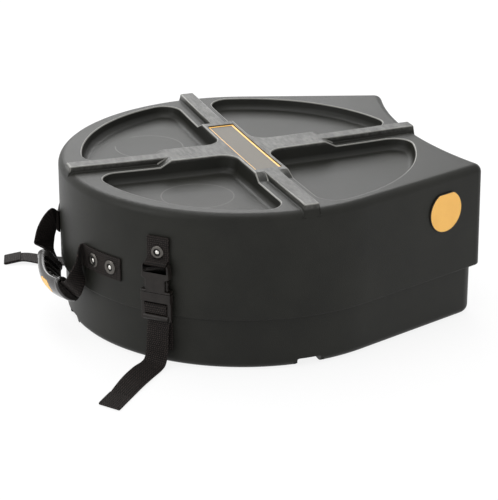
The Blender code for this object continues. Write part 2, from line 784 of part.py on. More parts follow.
def make_badge(materials):
    """The round badge with a flat top on the flank of the -Y side."""
    reach = math.hypot(FOOT_REACH, FOOT_HALF_WIDTH)
    flank = math.atan2(FOOT_HALF_WIDTH, FOOT_REACH) + math.acos(RADIUS / reach)
    normal = Vector((math.cos(flank), -math.sin(flank), 0))
    along = Vector((math.sin(flank), math.cos(flank), 0))
    corner = Vector((FOOT_REACH, -FOOT_HALF_WIDTH, 0))
    wall_out = lid_radius(BADGE_HEIGHT) - RADIUS
    middle = corner - along * BADGE_FROM_CORNER + normal * wall_out + UP * BADGE_HEIGHT
    rings = []
    for out, radius in ((2 * GAP, BADGE_RADIUS), (2 * GAP + BADGE_THICKNESS, BADGE_RADIUS - GAP)):
        ring = []
        for i in range(DISC_SIDES):
            turn = math.tau * i / DISC_SIDES
            rise = min(radius * math.sin(turn), radius - BADGE_FLAT)
            ring.append(middle + normal * out + along * (radius * math.cos(turn)) + UP * rise)
        rings.append(ring)
    loft("side_badge", rings, materials["gold"])


def make_lid_foam(materials):
    """The foam disc glued under the lid's pockets."""
    foam = disc("lid_pad", LID_FOAM_RADIUS, LID_FOAM_TOP - LID_FOAM, LID_FOAM_TOP, FOAM_SIDES,
                material=materials["foam"])
    sink_top(foam, 0.0)


# Base

def base_inset(level):
    """How far the base's outer wall stands in from the lid's plan at a height."""
    if level <= LID_EDGE_HEIGHT:
        return BASE_INSET
    share = (level - LID_EDGE_HEIGHT) / (BASE_TOP - LID_EDGE_HEIGHT)
    return BASE_INSET + BASE_STEP + BASE_TAPER * share


def make_base(materials):
    """The base: a deep tray with a round bottom edge and stacking grooves below."""
    step_top = LID_EDGE_HEIGHT + STEP_RISE
    corner = BASE_CORNER
    outer = []
    for i in range(ROUND_STEPS + 1):
        turn = math.pi / 2 * i / ROUND_STEPS
        drawn = BASE_ROUND * (1 - math.sin(turn))
        level = BASE_ROUND * (1 - math.cos(turn))
        outer.append((level, BASE_INSET + drawn, corner - drawn))
    outer.append((LID_EDGE_HEIGHT, BASE_INSET, corner))
    outer.append((step_top, base_inset(step_top), corner - BASE_STEP))
    outer.append((BASE_TOP, base_inset(BASE_TOP), corner - BASE_STEP))
    base = loft("base_shell", shell_rings(outer), materials["shell"])
    inner = []
    for i in range(ROUND_STEPS + 1):
        turn = math.pi / 2 * i / ROUND_STEPS
        radius = BASE_ROUND - BASE_WALL
        drawn = radius * (1 - math.sin(turn))
        level = BASE_WALL + radius * (1 - math.cos(turn))
        inner.append((level, BASE_INSET + BASE_WALL + drawn, corner - BASE_WALL - drawn))
    narrow = corner - BASE_STEP - BASE_WALL
    inner.append((LID_EDGE_HEIGHT, BASE_INSET + BASE_WALL, corner - BASE_WALL))
    inner.append((step_top, base_inset(step_top) + BASE_WALL, narrow))
    inner.append((BASE_TOP + OVERRUN, base_inset(BASE_TOP) + BASE_WALL, narrow))
    cut(base, loft("base_hollow", shell_rings(inner)))
    inside = RADIUS - BASE_INSET - 0.8 * BASE_WALL
    fuse(base, *groove_blocks(BASE_WALL, 0.9 * BASE_WALL, FLOOR_RIDGE_TOP, inside))
    cut(base, *groove_blocks(0.0, -OVERRUN, GROOVE_DEPTH, FOOT_REACH + OVERRUN))
    holes = []
    for side in (-1, 1):
        low = -BASE_INSET - LID_FLARE - 2 * BASE_WALL
        holes.append(rivet_hole(side * BUCKLE_ANGLE, STRAP_RIVET_HEIGHT, low, 0.0))
    cut(base, *holes)


def groove_blocks(wall, low, high, reach):
    """The blocks of the stacking grooves, or with a wall the ridges that cover them."""
    blocks = []
    narrow = GROOVE_HALF_WIDTH + wall
    wide = HUB_GROOVE_HALF_WIDTH + wall
    length = HUB_GROOVE_HALF_LENGTH + wall
    for half_x, half_y in ((reach, narrow), (narrow, reach), (length, wide), (wide, length)):
        low_half = (half_x + GROOVE_DRAFT, half_y + GROOVE_DRAFT)
        blocks.append(frustum("groove", low_half, (half_x, half_y), low, high))
    return blocks


def make_floor_foam(materials):
    """The foam disc that lies on the floor's ridges."""
    low = FLOOR_RIDGE_TOP + GAP
    disc("base_floor_pad", FLOOR_FOAM_RADIUS, low, low + FLOOR_FOAM, FOAM_SIDES,
         material=materials["foam"])


def make_wall_foam(materials):
    """The foam that lines the base's wall, with hollows over the strap rivets."""
    face = LINER_INSET
    corner = BASE_CORNER - BASE_STEP - BASE_WALL
    low = FLOOR_RIDGE_TOP + GAP
    outside = [(level, face, corner) for level in (low, FOAM_TOP_HEIGHT)]
    liner = loft("base_wall_liner", shell_rings(outside), materials["foam"])
    inside_corner = corner - WALL_FOAM
    levels = (low - OVERRUN, FOAM_TOP_HEIGHT + OVERRUN)
    inside = [(level, face + WALL_FOAM, inside_corner) for level in levels]
    cut(liner, loft("liner_hollow", shell_rings(inside)))
    recesses = []
    for side in (-1, 1):
        back = -face - LID_FLARE - 2 * RIVET_HEAD
        recesses.append(rivet_hole(side * BUCKLE_ANGLE, STRAP_RIVET_HEIGHT, back, 0.0,
                                   RECESS_RADIUS))
    cut(liner, *recesses)


# Buckles

def make_socket(name, angle, materials):
    """The buckle's upper half: a flat sleeve with a webbing bar and two side windows."""
    corner = SOCKET_TOP_CORNER
    right = [
        (SOCKET_MOUTH_HALF, SOCKET_MOUTH),
        (SOCKET_MOUTH_HALF, WINDOW_BOTTOM),
        (SOCKET_WAIST_HALF, WINDOW_BOTTOM),
        (SOCKET_WAIST_HALF, WINDOW_TOP),
        (SOCKET_SHOULDER_HALF, WINDOW_TOP + WINDOW_CHAMFER),
        (SOCKET_TOP_HALF, SOCKET_TOP - corner),
        (SOCKET_TOP_HALF - corner, SOCKET_TOP),
    ]
    outline = right + [(-across, level) for across, level in reversed(right)]
    socket = wall_plate(name, angle, outline, SOCKET_BACK, SOCKET_FRONT, SOCKET_EDGE,
                        materials["buckle"])
    cavity = box_outline(SOCKET_CAVITY_HALF, SOCKET_MOUTH - OVERRUN, PRONG_TIP + 2 * GAP)
    slot_top = SOCKET_TOP - SOCKET_BAR
    slot = box_outline(SLOT_HALF_WIDTH, slot_top - SOCKET_SLOT, slot_top)
    above_bar = box_outline(SLOT_HALF_WIDTH, slot_top - OVERRUN, SOCKET_TOP + OVERRUN)
    cut(socket,
        wall_plate("socket_cavity", angle, cavity, SOCKET_BACK + SOCKET_SKIN,
                   SOCKET_FRONT - SOCKET_SKIN),
        wall_plate("socket_slot", angle, slot, SOCKET_BACK - OVERRUN, SOCKET_FRONT + OVERRUN),
        wall_plate("bar_recess", angle, above_bar, SOCKET_BAR_FRONT, SOCKET_FRONT + OVERRUN))


def plug_levels():
    """Heights of the plug's ladder: neck, first bar, second slot and end bar."""
    bar_top = PLUG_NECK - PLUG_SLOT
    bar_bottom = bar_top - PLUG_BAR
    end_top = bar_bottom - PLUG_LOWER_SLOT
    return bar_top, bar_bottom, end_top, end_top - PLUG_END_BAR


def make_plug(name, angle, materials):
    """The buckle's lower half: a head with a guide tongue, and a two-bar ladder."""
    bar_top, bar_bottom, end_top, end_bottom = plug_levels()
    half = SOCKET_MOUTH_HALF
    notch = PLUG_TOP - NOTCH_DEPTH
    head = box_outline(half, PLUG_NECK, PLUG_TOP)
    plug = wall_plate(name, angle, head, PLUG_HEAD_BACK, PLUG_HEAD_FRONT, PLUG_EDGE,
                      materials["buckle"])
    frame = box_outline(half, end_bottom, PLUG_NECK + OVERRUN)
    tongue = box_outline(TONGUE_HALF_WIDTH, PLUG_NECK + OVERRUN, TONGUE_TOP)
    middle = (SOCKET_BACK + SOCKET_FRONT) / 2
    fuse(plug,
         wall_plate("plug_frame", angle, frame, PLUG_BACK, PLUG_FRONT, PLUG_EDGE),
         wall_plate("plug_tongue", angle, tongue, middle - TONGUE_HALF_THICKNESS,
                    middle + TONGUE_HALF_THICKNESS))
    cutters = []
    for low, high in ((bar_top, PLUG_NECK), (end_top, bar_bottom)):
        slot = box_outline(SLOT_HALF_WIDTH, low, high)
        cutters.append(wall_plate("ladder_slot", angle, slot, PLUG_HEAD_BACK - OVERRUN,
                                  PLUG_HEAD_FRONT + OVERRUN))
    for side in (-1, 1):
        gap = [(side * NOTCH_INNER_HALF, notch), (side * NOTCH_OUTER_HALF, notch),
               (side * NOTCH_OUTER_HALF, PLUG_TOP + OVERRUN),
               (side * NOTCH_INNER_HALF, PLUG_TOP + OVERRUN)]
        cutters.append(wall_plate("prong_notch", angle, gap, PLUG_HEAD_BACK - OVERRUN,
                                  PLUG_HEAD_FRONT + OVERRUN))
    cut(plug, *cutters)


def make_prong(name, angle, side, materials):
    """One sprung prong: a neck, a hollowed finger pad that catches the socket, and a tip."""
    outline = [
        (PRONG_INNER, PRONG_FOOT),
        (PRONG_NECK, PRONG_FOOT),
        (PRONG_NECK, PRONG_SHOULDER),
        (PRONG_PAD, PRONG_SHOULDER),
        (PRONG_PAD - PRONG_DISH, (PRONG_SHOULDER + PRONG_PAD_TOP) / 2),
        (PRONG_PAD, PRONG_PAD_TOP),
        (PRONG_TIP_HALF, PRONG_TIP),
        (PRONG_INNER, PRONG_TIP),
    ]
    outline = [(side * across, level) for across, level in outline]
    middle = (SOCKET_BACK + SOCKET_FRONT) / 2
    return wall_plate(name, angle, outline, middle - PRONG_HALF_THICKNESS,
                      middle + PRONG_HALF_THICKNESS, material=materials["buckle"])


def make_lid_strap(name, angle, materials):
    """The doubled webbing that holds the socket: riveted flat, and looped round its bar."""
    back = SEAT + WEB / 2
    front = back + WEB + GAP
    bar_low = SOCKET_TOP - SOCKET_BAR
    ease = GAP + WEB / 2 + GAP
    skew = ease * 0.7
    route = [
        (0.0, back, TAB_TOP),
        (0.0, back, LID_RIVET_HEIGHT),
        (0.0, back, SOCKET_TOP + WEB),
        (0.0, back, bar_low + WEB),
        (0.0, SOCKET_BACK - skew, bar_low - skew),
        (0.0, SOCKET_BACK + WEB, bar_low - ease),
        (0.0, SOCKET_BAR_FRONT - WEB, bar_low - ease),
        (0.0, SOCKET_BAR_FRONT + skew, bar_low - skew),
        (0.0, SOCKET_BAR_FRONT + ease, bar_low + WEB),
        (0.0, SOCKET_BAR_FRONT + ease, SOCKET_TOP - WEB),
        (0.0, SOCKET_BAR_FRONT + skew, SOCKET_TOP + skew),
        (0.0, front + WEB, LID_RIVET_HEIGHT - 1.3 * RIVET_HEAD_RADIUS),
        (0.0, front, LID_RIVET_HEIGHT - RIVET_HEAD_RADIUS),
        (0.0, front, LID_RIVET_HEIGHT),
        (0.0, front, TAB_TOP),
    ]
    strap = wall_webbing(name, angle, route, 3, materials["web"])
    cut(strap, rivet_hole(angle, LID_RIVET_HEIGHT, -OVERRUN, front + 2 * WEB))


def make_base_strap(name, angle, tail, materials):
    """The adjustable strap: riveted to the base, laced through the ladder, with its tail."""
    bar_top, bar_bottom, end_top, end_bottom = plug_levels()
    wall = -BASE_INSET - LID_FLARE + SEAT + WEB / 2
    up_run = SEAT + WEB / 2
    behind = up_run + WEB + GAP
    over = PLUG_FRONT + GAP + WEB / 2
    slot_middle = bar_top + PLUG_SLOT / 2
    lower_slot = (end_top + bar_bottom) / 2
    depth = (PLUG_BACK + PLUG_FRONT) / 2
    edge = LID_EDGE_HEIGHT
    route = [
        (0.0, wall, STRAP_LOW_END),
        (0.0, wall, STRAP_RIVET_HEIGHT),
        (0.0, wall, edge - 9 * WEB),
        (0.0, wall + 2 * WEB, edge - 4 * WEB),
        (0.0, up_run + GAP, edge - WEB / 2),
        (0.0, up_run, edge + 2 * WEB),
        (0.0, up_run, bar_top - WEB),
        (0.0, behind - WEB / 2, bar_top + WEB),
        (0.0, depth, slot_middle),
        (0.0, PLUG_FRONT, slot_middle - WEB / 4),
        (0.0, over, bar_top),
        (0.0, over, bar_bottom + WEB / 4),
        (0.0, PLUG_FRONT, lower_slot + WEB / 3),
        (0.0, depth, lower_slot),
        (0.0, PLUG_BACK - WEB / 4, lower_slot - WEB / 2),
        (0.0, behind, end_top - WEB / 2),
        (0.0, behind, end_bottom),
        *tail,
    ]
    strap = wall_webbing(name, angle, route, 3, materials["web"])
    cut(strap, rivet_hole(angle, STRAP_RIVET_HEIGHT, wall - WEB, wall + WEB))


# Free tails of the base straps, from the ladder to the folded tip

def near_tail():
    """The tail on the badge's side: it drops to the floor and runs straight out."""
    rest = GAP + WEB / 2
    fold = rest + WEB + GAP
    tail = [(*place, roll) for place, roll in zip(NEAR_TAIL_PLACES, NEAR_TAIL_ROLL_ANGLES)]
    levels = (rest, rest, (rest + fold) / 2, fold, fold)
    return tail + [(*place, level) for place, level in zip(NEAR_TAIL_TIP, levels)]


def far_tail():
    """The tail on the far side: it turns to the handle and lifts a little before its tip."""
    rest = 2 * GAP + WEB / 2
    fold = rest + WEB + GAP
    tail = [(*place, 0.0, turn) for place, turn in zip(FAR_TAIL_PLACES, FAR_TAIL_TURN_ANGLES)]
    levels = (rest, (rest + fold) / 2, fold)
    last = FAR_TAIL_TURN_ANGLES[-1]
    tail += [(*place, level, 0.0, last) for place, level in zip(FAR_TAIL_TIP, levels)]
    laps = zip(FAR_TAIL_LAPS, FAR_TAIL_LAP_TURN_ANGLES)
    return tail + [(across, out, level + WEB + GAP, 0.0, turn)
                   for (across, out, level), turn in laps]


def make_buckle(side_name, side, tail, materials):
    """Everything of one buckle, from its rivet on the lid to its rivet on the base."""
    angle = side * BUCKLE_ANGLE
    make_lid_strap(side_name + "_lid_strap", angle, materials)
    head_out = SEAT + 2 * GAP + 2 * WEB
    inner_face = -LID_WALL - 2 * GAP
    clinch = inner_face - WASHER - GAP
    rivet(side_name + "_lid_strap_rivet", angle, LID_RIVET_HEIGHT, head_out, clinch,
          materials["nickel"])
    washer(side_name + "_lid_strap_washer", angle, LID_RIVET_HEIGHT, inner_face,
           materials["nickel"])
    make_socket(side_name + "_buckle_socket", angle, materials)
    make_plug(side_name + "_buckle_plug", angle, materials)
    for prong_name, prong_side in (("_prong_left", -1), ("_prong_right", 1)):
        make_prong(side_name + prong_name, angle, prong_side, materials)
    make_base_strap(side_name + "_base_strap", angle, tail, materials)
    base_face = -BASE_INSET - LID_FLARE
    head_out = base_face + SEAT + GAP + WEB
    inner_face = base_face - BASE_WALL - 2 * GAP
    clinch = inner_face - WASHER - GAP
    rivet(side_name + "_base_strap_rivet", angle, STRAP_RIVET_HEIGHT, head_out, clinch,
          materials["nickel"])
    washer(side_name + "_base_strap_washer", angle, STRAP_RIVET_HEIGHT, inner_face,
           materials["nickel"])


# Handle

def make_handle_tab(side_name, side, root, materials):
    """The end of the handle's webbing, riveted flat on the lid, and its backing plate."""
    steps = 8
    rows = []
    for i in range(steps + 1):
        angle = TAB_START_ANGLE + (TAB_END_ANGLE - TAB_START_ANGLE) * i / steps
        centre = wall_point(side * angle, 0.0, SEAT + WEB / 2, TAB_HEIGHT)
        rows.append((*centre, *UP, WEB_WIDTH))
    tab = routed_webbing(side_name + "_handle_tab", rows + list(root), 2, materials["web"])
    cut(tab, *[rivet_hole(side * angle, TAB_HEIGHT, -OVERRUN, 2 * WEB + OVERRUN)
               for angle in HANDLE_RIVET_ANGLES])
    inner_face = -LID_WALL - 2 * GAP
    start = HANDLE_RIVET_ANGLES[0] - BACKING_MARGIN_ANGLE
    end = HANDLE_RIVET_ANGLES[1] + BACKING_MARGIN_ANGLE
    centres = []
    for i in range(steps + 1):
        angle = start + (end - start) * i / steps
        centres.append(wall_point(side * angle, 0.0, inner_face - BACKING / 2, TAB_HEIGHT))
    plate = webbing(side_name + "_handle_backing", centres, [UP] * len(centres),
                    materials["nickel"], 2 * BACKING_HALF_HEIGHT, BACKING)
    cut(plate, *[rivet_hole(side * angle, TAB_HEIGHT, inner_face - BACKING - OVERRUN, 0.0)
                 for angle in HANDLE_RIVET_ANGLES])
    clinch = inner_face - BACKING - GAP
    for place, angle in zip(("rear", "front"), reversed(HANDLE_RIVET_ANGLES)):
        rivet(f"{side_name}_handle_rivet_{place}", side * angle, TAB_HEIGHT, SEAT + GAP + WEB,
              clinch, materials["nickel"])


def grip_point(place, across, out):
    """A point of the grip, by its share along Y, and distances across and out of its face."""
    y = place * GRIP_HALF_LENGTH
    bow = GRIP_BOW * (1 - place ** 2)
    tilt = math.radians(GRIP_TILT)
    face = Vector((-math.cos(tilt), 0, -math.sin(tilt)))
    wide = Vector((-math.sin(tilt), 0, math.cos(tilt)))
    turn = math.atan2(2 * GRIP_BOW * place, GRIP_HALF_LENGTH)
    lean = face * math.cos(turn) + Vector((0, math.sin(turn), 0))
    middle = Vector((GRIP_X, y, GRIP_HEIGHT)) + face * (bow - GRIP_BOW)
    return middle + wide * across + lean * out


def grip_ring(place, half_width, outer, inner):
    """A ring of the grip's section: round on its outer face and flatter on its inner one."""
    steps = 5
    points = []
    for i in range(steps + 1):
        turn = math.pi * i / steps
        points.append(grip_point(place, half_width * math.cos(turn), outer * math.sin(turn)))
    for i in range(1, steps):
        turn = math.pi * i / steps
        flat = min(math.sin(turn) / 0.8, 1.0)
        points.append(grip_point(place, -half_width * math.cos(turn), -inner * flat))
    return points


def make_grip(materials):
    """The moulded grip: a bowed sleeve with a webbing bore and windows on its inner face."""
    rings = []
    end_shares = (-1.0, -0.97, -0.8, -0.6, -0.4, -0.2, 0.0, 0.2, 0.4, 0.6, 0.8, 0.97, 1.0)
    for place in end_shares:
        swell = GRIP_LIP if abs(place) > 0.9 else 0.0
        trim = GRIP_LIP if abs(place) == 1.0 else 0.0
        grow = swell - trim
        rings.append(grip_ring(place, GRIP_HALF_WIDTH + grow, GRIP_OUTER + grow,
                               GRIP_INNER + grow))
    grip = loft("handle_grip", rings, materials["grip"])
    bore = []
    for place in (-1.1, -0.8, -0.6, -0.4, -0.2, 0.0, 0.2, 0.4, 0.6, 0.8, 1.1):
        flare = GRIP_MOUTH_FLARE if abs(place) > 1 else 0.0
        half = GRIP_BORE_HALF_WIDTH + flare
        thick = GRIP_BORE_HALF_THICKNESS + flare
        corners = ((half, thick), (-half, thick), (-half, -thick), (half, -thick))
        bore.append([grip_point(place, across, out) for across, out in corners])
    windows = []
    for step in (-2, -1, 0, 1, 2):
        low = (step * GRIP_WINDOW_PITCH - GRIP_WINDOW_LENGTH / 2) / GRIP_HALF_LENGTH
        high = (step * GRIP_WINDOW_PITCH + GRIP_WINDOW_LENGTH / 2) / GRIP_HALF_LENGTH
        half = GRIP_WINDOW_HALF_WIDTH
        rings = []
        for place in (low, high):
            corners = ((half, 0.0), (-half, 0.0), (-half, -2 * GRIP_INNER), (half, -2 * GRIP_INNER))
            rings.append([grip_point(place, across, out) for across, out in corners])
        windows.append(loft("grip_window", rings))
    seat = inset_solid("inset_seat", GAP, GRIP_OUTER - INSET_DEPTH, GRIP_OUTER + OVERRUN)
    cut(grip, loft("grip_bore", bore), seat, *windows)
    low = GRIP_OUTER - INSET_DEPTH + GAP
    inset_solid("grip_inset", 0.0, low, low + INSET_THICKNESS, materials["gold"])


def inset_solid(name, grow, low, high, material=None):
    """The rounded inset on the grip's outer face, between two distances from its middle."""
    rings = []
    for share, width_share in INSET_PLAN:
        place = share * (INSET_HALF_LENGTH + grow) / GRIP_HALF_LENGTH
        half = INSET_HALF_WIDTH * width_share + grow
        corners = ((half, high), (-half, high), (-half, low), (half, low))
        rings.append([grip_point(place, across, out) for across, out in corners])
    return loft(name, rings, material)


def make_handle_strap(materials):
    """The handle's swinging webbing, from bend to bend through the grip."""
    wide = grip_point(0.0, 1.0, 0.0) - grip_point(0.0, 0.0, 0.0)
    entry = [(*grip_point(-share, 0.0, 0.0), *wide, WEB_WIDTH) for share in GRIP_ENTRY_SHARES]
    leave = [(*grip_point(share, 0.0, 0.0), *wide, WEB_WIDTH) for share in GRIP_ENTRY_SHARES]
    inside = []
    for place in (-0.6, -0.3, 0.0, 0.3, 0.6):
        inside.append((*grip_point(place, 0.0, 0.0), *wide, WEB_WIDTH))
    rows = [*NEAR_TURN, *entry, *inside, *reversed(leave), *reversed(FAR_TURN)]
    routed_webbing("handle_strap", rows, 3, materials["web"])


def main():
    """Build the whole case round its axis, and set it at its place."""
    for old in list(bpy.data.objects):
        bpy.data.objects.remove(old)
    materials = make_materials()
    make_lid(materials)
    make_label(materials)
    make_badge(materials)
    make_lid_foam(materials)
    make_base(materials)
    make_floor_foam(materials)
    make_wall_foam(materials)
    make_buckle("near", -1, near_tail(), materials)
    make_buckle("far", 1, far_tail(), materials)
    make_handle_tab("near", -1, NEAR_ROOT, materials)
    make_handle_tab("far", 1, FAR_ROOT, materials)
    make_handle_strap(materials)
    make_grip(materials)
    axis = bpy.data.objects.new("drum_axis", None)
    bpy.context.scene.collection.objects.link(axis)
    for piece in list(bpy.data.objects):
        if piece != axis:
            piece.parent = axis
    axis.location = (AXIS_X, AXIS_Y, 0)


main()
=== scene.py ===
"""A round moulded drum case: its finishes, its detailed pieces, a studio and a camera."""
import logging
import math
from contextlib import contextmanager
from dataclasses import dataclass
from enum import Enum
from typing import Any, Callable, Iterator, Optional, Sequence, Union

import bmesh
import bpy
from mathutils import Matrix, Vector


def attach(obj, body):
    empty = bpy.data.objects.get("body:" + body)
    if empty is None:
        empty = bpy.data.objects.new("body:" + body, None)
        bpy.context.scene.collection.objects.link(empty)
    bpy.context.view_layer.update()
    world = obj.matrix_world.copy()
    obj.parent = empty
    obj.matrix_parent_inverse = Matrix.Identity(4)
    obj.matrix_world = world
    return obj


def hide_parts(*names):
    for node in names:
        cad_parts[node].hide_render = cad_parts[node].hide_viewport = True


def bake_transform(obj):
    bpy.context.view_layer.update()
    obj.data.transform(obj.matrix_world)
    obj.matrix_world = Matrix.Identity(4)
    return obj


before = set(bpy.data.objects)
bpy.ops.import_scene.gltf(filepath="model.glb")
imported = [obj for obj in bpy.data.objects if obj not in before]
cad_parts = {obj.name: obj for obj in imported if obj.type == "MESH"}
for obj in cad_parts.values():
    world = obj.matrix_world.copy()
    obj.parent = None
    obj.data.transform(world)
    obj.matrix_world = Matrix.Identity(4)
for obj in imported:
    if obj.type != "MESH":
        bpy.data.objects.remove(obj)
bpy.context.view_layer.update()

log = logging.getLogger("drum_case")

AXIS = Vector((0.0087, 0.013, 0.0))
UP = Vector((0.0, 0.0, 1.0))
LEVEL_AXES = (Vector((1, 0, 0)), Vector((0, 1, 0)))
DOUBLED = 0.000002  # points nearer than this are one
SAME_LEVEL = 1e-6
CLEAR = 0.002  # how far a cutter reaches past what it cuts
Pair = tuple[float, float]
Triple = tuple[float, float, float]
Rows = Sequence[tuple[float, ...]]
Face = bmesh.types.BMFace
Material = bpy.types.Material
Test = Callable[[Any], bool]


class Body(Enum):
    """The bodies that pieces ride on."""

    BASE = "base"
    LID = "lid"
    HANDLE = "handle"


class Slot(Enum):
    """The record's material slots."""

    SHELL = "shell"
    FOAM = "foam"
    WEBBING = "webbing"
    BUCKLE = "buckle"
    GRIP = "grip"
    NICKEL = "nickel"
    LABEL = "label"
    GOLD = "gold"


class Side(Enum):
    """The two sides of the case, by the sign of Y: the badge is on the near one."""

    NEAR = -1
    FAR = 1

    @property
    def word(self) -> str:
        """The side's word in the names of nodes."""
        return self.name.lower()


class Part(Enum):
    """What an edit picks."""

    FACE = "FACE"
    EDGE = "EDGE"


# Shader maths

def math_node(operation: str, swapped: bool = False) -> Callable[..., "Signal"]:
    """A method of Signal that adds a Math node.

    Args:
        operation: The node's operation.
        swapped: Whether the signal itself is the last input.

    Returns:
        The method.
    """
    def method(self: "Signal", *others: "Term") -> "Signal":
        """The value of the Math node."""
        terms = enumerate((*others, self) if swapped else (self, *others))
        return self.recipe.node("ShaderNodeMath", {"operation": operation}, dict(terms))
    return method


class Signal:
    """A node's socket that takes part in sums, each of which adds a Math node."""

    def __init__(self, recipe: "Recipe", socket: bpy.types.NodeSocket) -> None:
        """Wrap an output socket of a recipe."""
        self.recipe = recipe
        self.socket = socket

    __add__, __radd__ = math_node("ADD"), math_node("ADD", True)
    __sub__, __rsub__ = math_node("SUBTRACT"), math_node("SUBTRACT", True)
    __mul__, __rmul__ = math_node("MULTIPLY"), math_node("MULTIPLY", True)
    __truediv__, __pow__ = math_node("DIVIDE"), math_node("POWER")
    __gt__, __lt__ = math_node("GREATER_THAN"), math_node("LESS_THAN")
    __abs__, sine, larger = math_node("ABSOLUTE"), math_node("SINE"), math_node("MAXIMUM")

    def ramp(self, low: float, high: float, start: float = 0.0, end: float = 1.0) -> "Signal":
        """A smooth, clamped passage.

        Args:
            low: The value of self at the start.
            high: The value of self at the end.
            start: What it gives up to low.
            end: What it gives from high on.

        Returns:
            The passage's value.
        """
        return self.recipe.node("ShaderNodeMapRange", {"interpolation_type": "SMOOTHSTEP"},
                                {"Value": self, "From Min": low, "From Max": high,
                                 "To Min": start, "To Max": end})


Term = Union[Signal, float]
Colour = Union[Signal, Triple]


class Recipe:
    """A node material under construction."""

    def __init__(self, name: str = "", tree: Optional[bpy.types.NodeTree] = None) -> None:
        """Start an empty material, or take a world's nodes.

        Args:
            name: The material's name.
            tree: The world's nodes, where it is a world.
        """
        self.material: Optional[Material] = None
        if tree is None:
            self.material = bpy.data.materials.new(name)
            self.material.use_nodes = True
            tree = self.material.node_tree
        self.tree = tree
        self.tree.nodes.clear()

    def node(self, kind: str, settings: Optional[dict[str, str]] = None,
             inputs: Optional[dict[Union[str, int], Any]] = None,
             output: Union[str, int] = 0) -> Signal:
        """Add a node.

        Args:
            kind: The node's type.
            settings: Its properties, set before its sockets.
            inputs: Values or signals for its sockets, by name or number.
            output: The output that the result wraps.

        Returns:
            The chosen output as a signal.
        """
        made = self.tree.nodes.new(kind)
        for key, value in (settings or {}).items():
            setattr(made, key, value)
        for key, value in (inputs or {}).items():
            socket = made.inputs[key]
            if isinstance(value, Signal):
                self.tree.links.new(value.socket, socket)
            elif isinstance(value, tuple) and socket.type == "RGBA":
                socket.default_value = (*value, 1.0)
            else:
                socket.default_value = value
        return Signal(self, made.outputs[output])

    def place(self) -> Signal:
        """The point on the object, in its own coordinates."""
        return self.node("ShaderNodeTexCoord", output="Object")

    def axes(self, vector: Signal) -> tuple[Signal, Signal, Signal]:
        """The X, Y and Z of a vector."""
        outputs = self.node("ShaderNodeSeparateXYZ", inputs={0: vector}).socket.node.outputs
        return tuple(Signal(self, output) for output in outputs)

    def noise(self, vector: Signal, scale: float, detail: float = 2.0,
              rough: float = 0.5) -> Signal:
        """Noise from 0 to 1, with its bumps per metre, octaves and the share of each."""
        return self.node("ShaderNodeTexNoise", inputs={"Vector": vector, "Scale": scale,
                                                       "Detail": detail, "Roughness": rough})

    def cells(self, vector: Signal, scale: float, smooth: float = 0.6) -> Signal:
        """Soft cells per metre, as in leather grain: the distance from a cell's middle."""
        return self.node("ShaderNodeTexVoronoi", {"feature": "SMOOTH_F1"},
                         {"Vector": vector, "Scale": scale, "Smoothness": smooth})

    def stretched(self, vector: Signal, scale: Triple) -> Signal:
        """A vector scaled by its own amount along each axis."""
        return self.node("ShaderNodeMapping", inputs={"Vector": vector, "Scale": scale})

    def blend(self, share: Term, first: Colour, second: Colour) -> Signal:
        """The first colour passing into the second as the share goes from 0 to 1."""
        return self.node("ShaderNodeMix", {"data_type": "RGBA"},
                         {0: share, 6: first, 7: second}, 2)

    def bump(self, height: Signal, depth: float, strength: float = 1.0) -> Signal:
        """A normal tilted by a height, whose 1 stands for a depth in metres."""
        return self.node("ShaderNodeBump", inputs={"Height": height, "Distance": depth,
                                                   "Strength": strength})

    def finish(self, base: Colour, rough: Term, normal: Signal, metal: float = 0.0,
               **constants: float) -> Material:
        """Close the material with its shader.

        Args:
            base: The base colour.
            rough: The roughness.
            normal: The tilted normal.
            metal: How metallic it is.
            **constants: Other sockets' plain values, with _ for each space.

        Returns:
            The material.
        """
        inputs = {"Base Color": base, "Roughness": rough, "Metallic": metal, "Normal": normal}
        inputs.update((key.replace("_", " "), value) for key, value in constants.items())
        self.close(self.node("ShaderNodeBsdfPrincipled", inputs=inputs))
        return self.material

    def close(self, shader: Signal, kind: str = "ShaderNodeOutputMaterial") -> None:
        """Link a shader to the output of the material or the world."""
        end = self.tree.nodes.new(kind)
        self.tree.links.new(shader.socket, end.inputs["Surface"])


# Finishes

